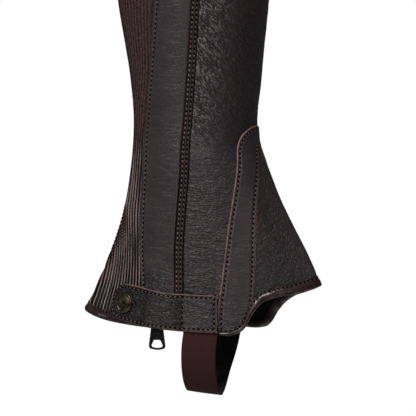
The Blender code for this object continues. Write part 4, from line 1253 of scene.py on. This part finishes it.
def make_tab():
    girth = half_girth(TAB_HEIGHT)
    long, tall = (TAB_BACK - TAB_FRONT) * girth, TAB_WIDTH
    along, beside = between_raw_edges(long, 82), between_raw_edges(tall, 27)
    wrap, up = np.meshgrid(TAB_FRONT + along / girth, beside / tall)
    height = tab_place(wrap, up)
    level = tab_level(wrap)
    wrap = wrap + drawn_forward(wrap, height)
    flat = np.stack([wrap * girth, height], axis=-1)
    edge = distance_to_line(flat, tab_outline(0.0))
    # wrinkles that run out of the square of stitches, puckers beside them, and slack over all of the tab
    square = np.abs(wrap - SQUARE_WRAP) * girth
    inside = soft_step(SQUARE_WRAP - wrap, -0.004, 0.01)
    u = flat[..., 0]
    pull = 0.55 * stretched_hills(u, height, 15.0, 3.4, 35.0, 51)
    pull = pull - 0.35 * creases(u, height, 13.0, 5.0, 38.0, 52)
    pull = pull * soft_step(edge, 1.5, 5.0) * lerp(0.35, 1.0, inside * soft_step(height, 13.0, 22.0))
    puckers = 0.35 * bell(square, 7.0) * stretched_hills(u, height, 16.0, 3.0, -25.0, 53)
    slack = 0.5 * hills(u / 19.0, height / 15.0, 54) * soft_step(edge, 1.0, 8.0)
    # the face: raw edges, rows of stitches, those wrinkles, the dent round the snap, and the second bend
    near_snap = np.hypot((wrap - SNAP_WRAP) * girth, height - SNAP_HEIGHT)
    out = level + LEATHER + edge_slope(edge) + stitch_dip(edge - TAB_STITCH_IN, 0.4)
    out = out + stitch_dip(square, 0.55) * soft_step(edge, 0.5, 3.0) + pull * 1.15 + puckers + slack
    out = out - 0.4 * bell(near_snap - SNAP_RADIUS, 1.6) + 0.15
    out = out - 0.5 * bell(wrap - SECOND_BEND, 0.011) * soft_step(edge, 1.0, 4.0)
    # where the edge lies in shade, below and round the end, it is painted dark: the face's leather and no pale
    # cut edge
    edge_in_shade = (height < 14.0) & (wrap > 0.6) | (wrap > 0.785)
    made = cut("snap_tab_leather", wrap, height, out, (TAB_LEATHER, BACK, EDGE), raw=edge * 1.25 + 9.0 * edge_in_shade)
    # painted shade: a little over the tab outside the square of stitches, more in its two bends and at the snap
    # end
    bends = bell(wrap - FIRST_BEND, 0.012) + bell(wrap - SECOND_BEND - 0.004, 0.017)
    bends = bends + 0.6 * soft_step(wrap, 0.68, 0.70)
    add_values(made.data, "painted_shade_mix", np.minimum(0.2 + bends, 1.0) * (1.0 - inside))
    return made


done(make_tab(), "leather", "snap_tab")

# %% [markdown]
# ## Foot strap
# Woven elastic that goes under the boot: out from under the tab, down round its lowest point and up to the
# inner wall, where it is sewn inside. A curve with a flat profile would twist where the path turns, so one
# net follows the path, and every row of it lies between the two walls. The face that looks out and down is
# brown, the back black.

# %% Foot strap
STRAP_WRAPS = (0.5230, 0.4100)  # of its heel side and its toe side on the outer wall
STRAP_FAR_WRAPS = (-0.526, -0.413)  # and on the inner wall
STRAP_THICK = 1.0
STRAP_SEWN = 22.0  # height up to which it is sewn down
STRAP_SKEW = 0.022  # how much lower its toe side hangs
STRAP_ENDS = 0.115  # share of the path that is sewn down, at each end
STRAP_COLUMNS, STRAP_ROWS = 27, 190
INSIDE = -2.6  # level behind the inner wall
STRAP_LOOP = np.array([
    # share of the path  way across from the outer to the inner wall  drop below the hem
    (0.00, 0.000, 0.0), (0.10, -0.046, 9.0), (0.19, -0.058, 19.0), (0.28, -0.032, 29.5), (0.36, 0.032, 38.0),
    (0.42, 0.112, 43.2), (0.48, 0.200, 44.8), (0.54, 0.285, 42.8), (0.70, 0.540, 28.5), (0.86, 0.805, 14.0),
    (1.00, 0.985, 0.0),
])


def make_strap():
    across = np.linspace(0.0, 1.0, STRAP_COLUMNS)[None, :]
    up = np.linspace(0.0, 1.0, STRAP_ROWS)[:, None]
    sewn = STRAP_ENDS
    near, far = lerp(*STRAP_WRAPS, across), lerp(*STRAP_FAR_WRAPS, across)
    near_level, far_level = LEATHER + SEAM_GAP + STRAP_THICK, INSIDE + STRAP_THICK
    hem_near, hem_far = hem_height(near), hem_height(far)
    # the loop below the hem, from wall to wall
    share = np.clip((up - sewn) / (1.0 - 2.0 * sewn), 0.0, 1.0)
    path = read_smooth(STRAP_LOOP, share)
    start, end = on_leg(near, hem_near, near_level), on_leg(far, hem_far, far_level)
    points = start + (end - start) * path[..., :1]
    points[..., 0] = lerp(start[..., 0], end[..., 0], share)
    points[..., 2] = lerp(hem_near, hem_far, share) - path[..., 1] * (1.0 + STRAP_SKEW * (2.0 * across - 1.0))
    # its ends, which lie on the outer wall and behind the inner one
    on_near = on_leg(near, lerp(STRAP_SEWN, hem_near, np.clip(up / sewn, 0.0, 1.0)), near_level)
    on_far = on_leg(far, lerp(hem_far, STRAP_SEWN, np.clip((up - 1.0 + sewn) / sewn, 0.0, 1.0)), far_level)
    up = up[..., None]
    points = np.where(up <= sewn, on_near, np.where(up >= 1.0 - sewn, on_far, points))
    width = np.linalg.norm(points[0, -1] - points[0, 0])
    middle = points[:, STRAP_COLUMNS // 2]
    run = np.concatenate([[0.0], np.cumsum(np.linalg.norm(np.diff(middle, axis=0), axis=-1))])
    flat = np.stack(np.broadcast_arrays(across * width, run[:, None]), axis=-1)
    mesh = net_mesh("foot_strap_elastic", points, flat, (0.0, -1.0, -0.5))
    return sheet(mesh, points, (WEBBING, WEBBING_BACK, WEBBING), STRAP_THICK)


done(make_strap(), "webbing", "foot_strap")

# %% [markdown]
# ## Bindings
# A strip of thin glossy leather is folded over the lower edge, from the zip round the heel, the inner side
# and the toe to the tab, and another over the top edge. A bevelled curve would be simpler, but too round. So
# the section is written once as a table: down the outer face, round the fold, which is full and takes the
# light, and up the inside. The row of stitches along its edge pulls it in at each stitch. Over the ankle it
# is narrower than elsewhere.

# %% The binding's section
BINDING = 0.7
BINDING_HEIGHTS = np.array([
    # wrap round the outer side, unrolled past the heel to the inner one  height of the binding over the edge
    (-0.40, 4.0), (-0.28, 6.4), (-0.20, 7.0), (0.20, 7.0), (0.27, 5.4), (0.35, 4.2), (0.50, 4.0), (0.66, 7.0),
    (1.25, 7.0), (1.34, 4.0), (1.70, 4.0),
])
ARCH_LIFT = np.array([
    # wrap  how far the binding stands out of the hollow: over the tongue, then over the reinforcement
    (0.00, 1.3), (0.04, 1.8), (0.240, 1.8), (0.265, 2.7), (0.420, 2.7), (0.445, 1.8), (0.80, 1.6),
    (1.00, 1.2),
])
BINDING_SECTION = np.array([
    # share of the section  height over the edge, 1 at its seam  how far out, from 0 inside to 1 on the face
    (0.00, 1.00, 0.90), (0.08, 0.92, 0.94), (0.18, 0.74, 0.90), (0.30, 0.46, 1.08), (0.40, 0.20, 1.10),
    (0.47, 0.04, 0.90), (0.53, -0.02, 0.62), (0.60, 0.02, 0.34), (0.67, 0.16, 0.08), (0.78, 0.45, 0.00),
    (0.90, 0.80, 0.02), (1.00, 1.00, 0.04),
])
STITCH = 3.5
BOUND_SEAM = 0.80  # its row of stitches, as a share of its height
BINDING_POINTS = 30  # of the section
ROUND_LEG = 190.0  # the half girth by which a binding's length is measured, near enough at both edges
HEM_BINDING = (-1.335, 0.405)
TOP_BINDING = (-1.440, 0.385)


def binding_tall(wrap):
    """How far the binding reaches over its edge."""
    return read(BINDING_HEIGHTS, np.where(wrap < -0.7, wrap + 2.0, wrap))


def over_hem(wrap):
    return read(ARCH_LIFT, folded(wrap)) + BINDING


def top_edge(wrap):
    return np.full_like(wrap, TOP)


def over_top(wrap):
    return np.full_like(wrap, LAYER + BINDING)


print("binding", BINDING_HEIGHTS[:, 1].min(), "to", BINDING_HEIGHTS[:, 1].max(), "mm tall")

# %% Bindings
def make_binding(name, ends, edge_height, steep, direction, outer_level, seed):
    """A strip folded over an edge. edge_height and steep read that edge by wrap. direction is 1 where the strip
    reaches up from it and -1 where it reaches down. outer_level is how far out its face lies."""
    wrap = np.linspace(*ends, int((ends[1] - ends[0]) * ROUND_LEG))[:, None]
    share = np.linspace(0.0, 1.0, BINDING_POINTS)[None, :]
    section = read_smooth(BINDING_SECTION, share)
    tall = binding_tall(wrap)
    run = wrap * ROUND_LEG
    uneven = 1.0 + 0.10 * hills(run / 13.0, run * 0.0, seed) * bell(section[..., 0] - 0.25, 0.4)
    height = edge_height(wrap) + direction * section[..., 0] * steep(wrap) * tall * uneven
    inner, outer = -LIFT - BINDING, outer_level(wrap)
    pull = 0.5 + 0.5 * np.cos(2.0 * pi * run / STITCH)
    # at the toe the hollow is sharp, so the full fold is left out there
    full = soft_step(folded(wrap), 0.0, 0.06)
    out = lerp(inner, outer, section[..., 1] - np.maximum(section[..., 1] - 0.94, 0.0) * (1.0 - full))
    out = out - (0.22 + 0.25 * pull) * bell((section[..., 0] - BOUND_SEAM) * tall, 0.75) * (share < 0.5)
    out = out + 0.22 * hills(run / 9.0, share * 5.0, seed + 1) * bell(section[..., 0] - 0.25, 0.5)
    points = on_leg(wrap + section[..., 0] * 0.0, height, out)
    steps = np.linalg.norm(np.diff(points, axis=1), axis=-1).mean(axis=0)
    flat = np.stack(np.broadcast_arrays(run, np.concatenate([[0.0], np.cumsum(steps)])[None, :]), axis=-1)
    row = len(wrap) // 2
    mesh = net_mesh(name, points, flat, points[row, 0] - points[row, -1], (row, 5))
    return sheet(mesh, points, (BINDING_LEATHER, BACK, BINDING_LEATHER), BINDING - 0.1)


hem_strip = make_binding("hem_binding_leather", HEM_BINDING, hem_height, steepness, 1.0, over_hem, 61)
done(hem_strip, "binding", "hem_binding")
top_strip = make_binding("top_binding_leather", TOP_BINDING, top_edge, np.ones_like, -1.0, over_top, 65)
done(top_strip, "binding", "top_binding")

# %% [markdown]
# ## Zip
# Two woven tapes are sewn behind the leather, and between them runs the closed coil, all of it hidden by the
# cover from outside and seen from inside the chap. The front tape reaches behind the main panel's edge, so
# that no light comes through the facing's seam. The coil is a row of loops, hundreds of them, which is work
# for Geometry Nodes. A second tree makes rows of small things along a line: it turns edges into a curve,
# spaces points along it, and puts a bead on each, turned along the line and away from the leather. The same
# tree sews all the stitches later.

# %% Tapes
CHAIN_SHARE = 0.44  # where the chain runs between the cover's free edge and its sewn one
CHAIN_WIDTH, CHAIN_GAP = 5.6, 1.9  # across the coil, and from its middle to a tape
TAPE_THICK = 0.7
TAPE_UNDER, FRONT_TAPE_UNDER = 5.0, 10.5  # how far each tape reaches under the leather
TAPE_ENDS = (0.034, 0.985)  # as shares of the height


def chain_wrap(height):
    sewn, free = cover_edges(height)
    return lerp(free, sewn, CHAIN_SHARE)


def rear_tape(along, height):
    girth = half_girth(height)
    back = cover_edges(height)[0] - (ELASTIC_TUCK - TAPE_UNDER) / girth
    return lerp(back, chain_wrap(height) + CHAIN_GAP / girth, along)


def front_tape(along, height):
    girth = half_girth(height)
    ahead = cover_edges(height)[1] + (FACING_TUCK - FRONT_TAPE_UNDER) / girth
    return lerp(chain_wrap(height) - CHAIN_GAP / girth, ahead, along)


for name, line in (("zip_tape_rear", rear_tape), ("zip_tape_front", front_tape)):
    wrap, height, _, _ = laid(rows_of_height(2.5, 4.0, *TAPE_ENDS), columns(8, False, False), line)
    behind = np.full_like(wrap, -LIFT)
    tape = cut(name + "_weave", wrap, height, behind, (TAPE, TAPE, TAPE), thickness=TAPE_THICK)
    done(tape, "zip_tape", name)


# %% The tree for rows of beads
def bead_tree(finish, sides=8, rings=5):
    """Beads along lines. Its inputs are how far apart they are, how far the first is from the start, their
    length, width and height, how much these vary, and how far a bead turns from the line."""
    wanted = {"Pitch": "NodeSocketFloat", "Start": "NodeSocketFloat", "Size": "NodeSocketVector",
              "Uneven": "NodeSocketFloat", "Slant": "NodeSocketFloat"}
    tree, coming = shape_tree("beads_" + finish.name, wanted)
    curve = tree.node("GeometryNodeMeshToCurve", None, {0: coming["Geometry"]})
    length = tree.node("GeometryNodeSplineLength")
    trim = {"Curve": curve, 4: coming["Start"], 5: length - coming["Start"]}
    curve = tree.node("GeometryNodeTrimCurve", {"mode": "LENGTH"}, trim)
    spaced = tree.node("GeometryNodeResampleCurve", {"mode": "LENGTH"}, {0: curve, "Length": coming["Pitch"]})
    ahead = tree.node("GeometryNodeInputTangent")
    upright = tree.node("FunctionNodeAxesToRotation", {"primary_axis": "Z", "secondary_axis": "X"},
                        {0: named_value(tree, "out", "FLOAT_VECTOR"), 1: ahead})
    slant = tree.node("ShaderNodeCombineXYZ", None, {"Z": coming["Slant"]})
    turn = tree.node("FunctionNodeRotateRotation", {"rotation_space": "LOCAL"}, {0: upright, 1: slant})
    low, high = (coming["Uneven"] * sign + 1.0 for sign in (-1.0, 1.0))
    size = tree.node("FunctionNodeRandomValue", {"data_type": "FLOAT"}, {2: low, 3: high, "Seed": 7}, output=1)
    scale = tree.node("ShaderNodeVectorMath", {"operation": "SCALE"}, {0: coming["Size"], "Scale": size})
    bead = tree.node("GeometryNodeMeshUVSphere", None, {"Segments": sides, "Rings": rings, "Radius": 0.5})
    smooth = tree.node("GeometryNodeSetShadeSmooth", None, {0: bead})
    rows = tree.node("GeometryNodeInstanceOnPoints", None,
                     {"Points": spaced, "Instance": smooth, "Rotation": turn, "Scale": scale})
    close_tree(tree, rows, finish)
    return tree


def row_lines(name, *rows):
    """An object of edges: one line for each row of (wrap, height, level), with the way out at its points."""
    points = [on_leg(*row) for row in rows]
    ways = [outward(*(np.asarray(values, float) for values in row[:2])) for row in rows]
    edges, first = [], 0
    for line in points:
        edges += [(first + k, first + k + 1) for k in range(len(line) - 1)]
        first += len(line)
    mesh = bpy.data.meshes.new(name)
    mesh.from_pydata((np.concatenate(points) - (0.0, 0.0, CALF)) * MM, edges, [])
    add_values(mesh, "out", np.concatenate(ways), "FLOAT_VECTOR")
    return add_object(mesh)


def in_metres(*sizes):
    return tuple(size * MM for size in sizes)


# %% Coil
COIL_PITCH, COIL_LEVEL = 1.5, 0.65
COIL_BEAD = in_metres(1.25, 3.1, 1.5)
COIL_ENDS = (20.5, 423.0)  # heights


def join(first, *others):
    """One mesh of several plain ones, in the first one's name."""
    whole = bmesh.new()
    for part in (first, *others):
        whole.from_mesh(part.data)
    whole.to_mesh(first.data)
    whole.free()
    for part in others:
        bpy.data.objects.remove(part, do_unlink=True)
    return first


def make_coil():
    """Two rows of beads, half a bead out of step, which is how the loops of both sides lock."""
    height = np.linspace(*COIL_ENDS, 300)
    tree = bead_tree(COIL)
    halves = []
    for side in (-1.0, 1.0):
        wrap = chain_wrap(height) + side * 0.25 * CHAIN_WIDTH / half_girth(height)
        half = row_lines("zip_coil", (wrap, height, COIL_LEVEL))
        start = (1.0 + side) * COIL_PITCH / 4.0 * MM
        run_tree(half, tree, Pitch=COIL_PITCH * MM, Start=start, Uneven=0.02, Slant=0.0, Size=COIL_BEAD)
        halves.append(bake(half))
    return join(*halves)


done(make_coil(), "zip_metal", "zip_chain")

# %% [markdown]
# ## Snap
# A cap with a low dome inside a rolled rim on the tab, its socket behind the tab, and a stud on the stretch
# panel, all of brass that has darkened. Metal parts like these are turned or pressed round an axis, so each
# is a profile that is spun round the snap's axis, with 64 steps so that the rim looks round where it catches
# the light.

# %% Snap
def lathe(name, profile, foot_level, steps=64):
    """Spin a profile of (radius, height) in millimetres round the snap's axis, standing on a level."""
    foot = on_leg(SNAP_WRAP, SNAP_HEIGHT, foot_level)
    upright = Vector(outward(np.float64(SNAP_WRAP), np.float64(SNAP_HEIGHT))).to_track_quat("Z", "Y")
    place = Matrix.Translation(Vector(foot - (0.0, 0.0, CALF)) * MM) @ upright.to_matrix().to_4x4()
    solid = bmesh.new()
    ring = [solid.verts.new((radius * MM, 0.0, height * MM)) for radius, height in profile]
    edges = [solid.edges.new(pair) for pair in zip(ring[:-1], ring[1:])]
    bmesh.ops.spin(solid, geom=[*ring, *edges], axis=(0, 0, 1), cent=(0, 0, 0), angle=2 * pi, steps=steps)
    bmesh.ops.remove_doubles(solid, verts=solid.verts, dist=1e-6)
    bmesh.ops.recalc_face_normals(solid, faces=solid.faces)
    solid.transform(place)
    mesh = bpy.data.meshes.new(name)
    solid.to_mesh(mesh)
    solid.free()
    mesh.shade_smooth()
    mesh.set_sharp_from_angle(angle=radians(50.0))
    mesh.materials.append(BRASS)
    return add_object(mesh)


def arc(centre, radius, start, end, steps=6):
    """Points of an arc in a profile, by angles in degrees."""
    turn = np.radians(np.linspace(start, end, steps + 1))
    return list(zip(centre[0] + radius * np.cos(turn), centre[1] + radius * np.sin(turn)))


DOME_RADIUS, DOME_HEIGHT, DOME_FOOT, RIM = 5.8, 1.15, 1.15, 0.9
dome_shares = np.linspace(0.0, 1.0, 12)
dome = [(DOME_RADIUS * share, DOME_FOOT + DOME_HEIGHT * (1.0 - share**2)) for share in dome_shares]
cap_profile = [*dome, *arc((SNAP_RADIUS - RIM, 0.95), RIM, 145.0, -60.0, 14), (5.0, 0.0), (0.0, 0.0)]
snap_level = float(tab_level(SNAP_WRAP))
socket_level = snap_level - 2.0 * SEAM_GAP - 0.9
done(lathe("snap_cap_brass", cap_profile, snap_level + LEATHER + SEAM_GAP), "antique_brass", "snap_cap")
socket_profile = [(0.0, 0.5), (2.0, 0.5), (2.3, 0.9), *arc((4.6, 0.5), 0.4, 90.0, 0.0), (5.0, 0.0), (0.0, 0.0)]
done(lathe("snap_socket_brass", socket_profile, socket_level), "antique_brass", "snap_socket")
stud_profile = [(0.0, 0.9), (2.0, 0.9), (2.6, 0.7), (2.6, 0.4), (5.0, 0.35), (5.3, 0.0), (0.0, 0.0)]
done(lathe("snap_stud_brass", stud_profile, LEATHER + SEAM_GAP), "antique_brass", "snap_stud")

# %% [markdown]
# ## Slider and pull
# The slider is two plates round the coil, joined by a post, with a bail on its face. Boxes with rounded edges
# are enough for it. The pull hangs in the bail, and it is the one piece that moves, on a body of its own. It
# is stamped from a sheet, so it is an outline with arcs at the corners: a narrow head that flares to a broad
# foot with a curved lower edge, a slot for the bail, a window, and three bars above it for the fingers' grip.
# The joint's axis is the bail's bar, and both are made in a frame whose origin is on it.

# %% Slider
PULL_WRAP, HINGE_HEIGHT, HINGE_LEVEL = 0.6128, 10.0, 3.35  # where the pull's joint is on the leg
PULL_DROP, PULL_THICK = 20.9, 0.9  # from the joint to the pull's foot


def slider_place():
    """The slider's own frame, with its origin on the hinge: x to the toe, y into the leg, z up."""
    point = on_leg(PULL_WRAP, HINGE_HEIGHT, HINGE_LEVEL)
    into = on_leg(PULL_WRAP, HINGE_HEIGHT, 0.0) - point
    turn = np.arctan2(into[1], into[0]) - pi / 2
    return Matrix.Translation(Vector(point - (0.0, 0.0, CALF)) * MM) @ Matrix.Rotation(turn, 4, "Z")


def rounded_block(size, centre, bevel):
    """A box with rounded edges, in the slider's frame, in millimetres."""
    block = bmesh.new()
    bmesh.ops.create_cube(block, size=1.0)
    bmesh.ops.scale(block, vec=size, verts=block.verts)
    bmesh.ops.bevel(block, geom=block.edges[:], offset=bevel, segments=3, profile=0.5, affect="EDGES")
    bmesh.ops.translate(block, vec=centre, verts=block.verts)
    mesh = bpy.data.meshes.new("block")
    block.to_mesh(mesh)
    block.free()
    return add_object(mesh)


def enamelled(made):
    """Put a plain piece from the slider's frame in its place, smooth but for its edges, and in enamel."""
    made.data.transform(slider_place() @ Matrix.Scale(MM, 4))
    made.data.shade_smooth()
    made.data.set_sharp_from_angle(angle=radians(40.0))
    made.data.materials.clear()
    made.data.materials.append(ENAMEL)
    return made


def make_slider():
    wide, tall, plate, middle = 8.4, 10.8, 0.95, 2.6  # of its two plates
    face, inside = HINGE_LEVEL - 2.6, HINGE_LEVEL + 1.4  # how far into the leg they lie
    bail_out, bail_thick, low, high = -1.45, 0.8, -2.1, 6.7
    foot_deep = face - bail_out + 0.4  # of the bail's two feet, which end in the plate
    parts = [
        rounded_block((wide, plate, tall), (0, face + plate / 2, middle), 0.35),
        rounded_block((wide, plate, tall), (0, inside + plate / 2, middle), 0.35),
        rounded_block((2.4, inside - face, 2.6), (0, (inside + face) / 2 + 0.2, middle + tall / 2 - 2.2), 0.3),
        rounded_block((1.6, bail_thick, high - low), (0, bail_out + bail_thick / 2, (low + high) / 2), 0.25),
        rounded_block((1.6, foot_deep, 1.1), (0, bail_out + foot_deep / 2, low + 0.55), 0.2),
        rounded_block((1.6, foot_deep, 1.1), (0, bail_out + foot_deep / 2, high - 0.55), 0.2),
    ]
    made = join(*parts)
    made.name = "slider_enamel"
    return enamelled(made)


done(make_slider(), "zip_metal", "zip_slider")

# %% Pull
def rounded_outline(corners, steps=6):
    """Corners of (x, z, radius) made into points, each corner an arc that meets its sides."""
    points = []
    for k, (x, z, radius) in enumerate(corners):
        here = Vector((x, z))
        back = (Vector(corners[k - 1][:2]) - here).normalized()
        ahead = (Vector(corners[(k + 1) % len(corners)][:2]) - here).normalized()
        half = back.angle(ahead) / 2.0
        centre = here + (back + ahead).normalized() * radius / sin(half)
        first = here + back * radius / np.tan(half) - centre
        last = here + ahead * radius / np.tan(half) - centre
        for step in range(steps + 1):
            way = first.lerp(last, step / steps)
            points.append(centre + way.normalized() * radius)
    return points


def mirrored(half):
    """A whole outline from the corners of its left half, the last of which may lie on the middle line."""
    return half + [(-x, z, radius) for x, z, radius in reversed(half) if x]


HEAD, FOOT = 4.2, 6.8  # half widths
PULL_OUTLINE = mirrored([(-HEAD, 0.6, 0.5), (0.35 - FOOT, 4.8 - PULL_DROP, 5.0),
                         (0.1 - FOOT, 1.3 - PULL_DROP, 2.2), (0.0, -PULL_DROP, 12.0)])
WINDOW = mirrored([(-2.7, 7.5 - PULL_DROP, 1.5), (-5.0, 2.7 - PULL_DROP, 1.2), (0.0, 1.5 - PULL_DROP, 10.0)])
SLOT = mirrored([(-1.3, -0.9, 0.3), (-1.3, -4.2, 0.6)])
BAR, BAR_HEIGHTS = (5.4, 0.3, 0.9), (8.6, 10.3, 12.0)  # the bars' size, and their heights above the foot


def plate_from(name, outlines, thickness, bevel):
    """A flat plate with holes, its edges rounded, in the x and z of the slider's frame."""
    curve = bpy.data.curves.new(name, "CURVE")
    curve.dimensions, curve.fill_mode = "2D", "BOTH"
    curve.extrude, curve.bevel_depth, curve.bevel_resolution = thickness / 2 - bevel, bevel, 2
    curve.offset = -bevel
    for outline in outlines:
        line = curve.splines.new("POLY")
        line.points.add(len(outline) - 1)
        for point, (x, z) in zip(line.points, outline):
            point.co = (x, z, 0.0, 1.0)
        line.use_cyclic_u = True
    flat = bpy.data.objects.new(name, curve)
    bpy.context.scene.collection.objects.link(flat)
    bpy.context.view_layer.update()
    mesh = bpy.data.meshes.new_from_object(flat.evaluated_get(bpy.context.evaluated_depsgraph_get()))
    bpy.data.objects.remove(flat, do_unlink=True)
    solid = bmesh.new()
    solid.from_mesh(mesh)
    bmesh.ops.remove_doubles(solid, verts=solid.verts, dist=1e-4)
    solid.transform(Matrix.Rotation(pi / 2, 4, "X"))
    bmesh.ops.recalc_face_normals(solid, faces=solid.faces)
    solid.to_mesh(mesh)
    solid.free()
    mesh.name = name
    return add_object(mesh)


def make_pull():
    outlines = [rounded_outline(corners) for corners in (PULL_OUTLINE, WINDOW, SLOT)]
    plate = plate_from("zip_pull_enamel", outlines, PULL_THICK, 0.28)
    bars = [rounded_block(BAR, (0.0, -PULL_THICK / 2 - 0.05, up - PULL_DROP), 0.14) for up in BAR_HEIGHTS]
    return enamelled(join(plate, *bars))


done(make_pull(), "zip_metal", "zip_pull", body="pull")

# %% [markdown]
# ## Stitches
# Lockstitch, 3.5 mm long, in brown thread. The facing's row beside the zip has a thicker and paler one, and
# the bindings a darker one. From outside each stitch is a short length of thread that dives into a needle
# hole at both ends, and the shade in each hole is painted as a black bead. An image of stitches would lie flat
# and miss the edges, so every seam's line is worked out from the edge that it follows. The bead tree puts
# these beads of painted shade on all the lines, then threads halfway between them.

# %% Seam lines
seams, pale_seams, bound_seams = [], [], []


def seam(wrap, height, level, rows=seams):
    """Add a row of stitches along points of the leg, level being the leather's face there."""
    wrap, height, level = np.broadcast_arrays(wrap, height, level)
    rows.append((wrap.astype(float), height.astype(float), level.astype(float)))


def seam_up(edge, inset, start, end, level, rows=seams):
    """A seam up the leg, a distance ahead of an edge that is given as wraps by height."""
    height = np.arange(start, end, 1.0)
    seam(edge(height) - inset / half_girth(height), height, level, rows)


def cover_sewn(height):
    return cover_edges(height)[0]


def facing_front(height):
    return cover_edges(height)[1] - FACING / half_girth(height)


seam_up(cover_sewn, COVER_STITCH_IN, COVER_START * TOP + 3.0, TOP - 6.0, LAYER + LEATHER - 0.1)
for row, rows in zip(FACING_ROWS, (pale_seams, seams)):
    seam_up(facing_front, -row, 31.0, TOP - 6.0, LEATHER, rows)

over_arch = np.linspace(0.0, 1.0, 500)
for along, inset in ((0.0, STITCH_IN), (1.0, -STITCH_IN)):
    wrap, height, _, _ = arch(over_arch, (np.float64(along), np.float64(inset)))
    seam(wrap, height, ARCH_LEVEL - 0.25)

tab_ring = tab_outline(TAB_STITCH_IN) / (half_girth(TAB_HEIGHT), 1.0)
seam(tab_ring[:, 0], tab_ring[:, 1], tab_level(tab_ring[:, 0]) + LEATHER - 0.2)
square_up = np.linspace(0.09, 0.91, 30)
seam(SQUARE_WRAP, tab_place(np.full(30, SQUARE_WRAP), square_up), float(tab_level(SQUARE_WRAP)) + 0.9)


def binding_seam(ends, edge_height, steep, direction, outer_level):
    wrap = np.linspace(ends[0] + 0.01, ends[1] - 0.01, 600)
    height = edge_height(wrap) + direction * binding_tall(wrap) * BOUND_SEAM * steep(wrap)
    seam(wrap, height, outer_level(wrap) - 0.75, bound_seams)


binding_seam(HEM_BINDING, hem_height, steepness, 1.0, over_hem)
binding_seam(TOP_BINDING, top_edge, np.ones_like, -1.0, over_top)
print("seams", len(seams + pale_seams + bound_seams))

# %% Holes and threads
def sew(name, finish, lines, start, size, slant, level):
    """Beads along seams, as one mesh. The first lies at start, size is their length, width and height, and level
    is how far out of the leather they lie."""
    rows = [(wrap, height, face + level) for wrap, height, face in lines]
    made = row_lines(name, *rows)
    run_tree(made, bead_tree(finish), Pitch=STITCH * MM, Start=start * MM, Uneven=0.08, Slant=slant,
             Size=in_metres(*size))
    return done(made, "leather")


# black beads of painted shade in the needle holes
sew("needle_hole_shades", HOLE_SHADE, seams + pale_seams + bound_seams, 0.01, (1.9, 1.55, 0.5), 0.0, 0.08)
sew("stitches", THREAD, seams, STITCH / 2.0, (1.7, 0.8, 0.6), 0.08, 0.10)
sew("facing_stitches", PALE_THREAD, pale_seams, STITCH / 2.0, (2.3, 1.15, 0.75), 0.16, 0.10)
sew("binding_stitches", DARK_THREAD, bound_seams, STITCH / 2.0, (1.8, 0.8, 0.6), 0.08, 0.10)

# %% [markdown]
# ## Light and floor
# The chap hangs in a pale studio. A large soft light comes from above on the heel side of the camera, so the
# outer face has a soft sheen and the toe side falls into shade. Another, higher and on the toe side, draws
# the top edges and the wrinkles. A weak one in front fills the shade, and two small ones, low on the toe side
# and the heel side, draw the glossy binding. The world is dim, so that these five do the work, but the camera
# sees it white.

# %% Lights, backdrop and floor
ANKLE_PLACE = Vector((0.0, 0.0, -0.22))


def softbox(name, place, size, power):
    """A soft light at a place in metres that looks at the ankle. size is in metres and power in watts."""
    lamp = bpy.data.lights.new(name, "AREA")
    lamp.shape = "RECTANGLE"
    lamp.size, lamp.size_y = size
    lamp.energy = power
    lamp.color = (1.0, 0.945, 0.955)
    made = bpy.data.objects.new(name, lamp)
    bpy.context.scene.collection.objects.link(made)
    made.location = place
    made.rotation_euler = (ANKLE_PLACE - made.location).to_track_quat("-Z", "Y").to_euler()


softbox("key_light", (-0.50, -1.45, 0.90), (0.55, 0.75), 23.0)
softbox("front_light", (0.05, -1.75, 0.30), (0.5, 0.7), 4.0)
softbox("top_light", (0.40, -1.10, 1.40), (0.6, 0.6), 19.0)
softbox("toe_light", (0.55, -0.45, -0.15), (0.12, 0.12), 0.22)
softbox("heel_light", (-0.72, -0.10, -0.14), (0.10, 0.10), 0.14)

world = bpy.data.worlds.new("studio")
bpy.context.scene.world = world
world.use_nodes = True
backdrop = Tree(world.node_tree)
seen_by_camera = backdrop.node("ShaderNodeLightPath")
background = world.node_tree.nodes["Background"]
backdrop.named(background.inputs["Color"], backdrop.mix(seen_by_camera, (0.09, 0.09, 0.095), (1.0, 1.0, 1.0)))

HALF_FLOOR, FLOOR_DROP = 1.2, 0.75
plane = bpy.data.meshes.new("floor")
corners = [(x * HALF_FLOOR, y * HALF_FLOOR, -FLOOR_DROP) for x, y in ((-1, -1), (1, -1), (1, 1), (-1, 1))]
plane.from_pydata(corners, [], [(0, 1, 2, 3)])
floor = add_object(plane)
paper = Finish("paper_floor", roughness=0.9)
paper.colour(paper.mix(paper.noise(paper.solid(), 6.0), (0.86, 0.86, 0.86), (0.90, 0.90, 0.90)))
plane.materials.append(paper.material)
bpy.context.scene.view_settings.view_transform = "Standard"
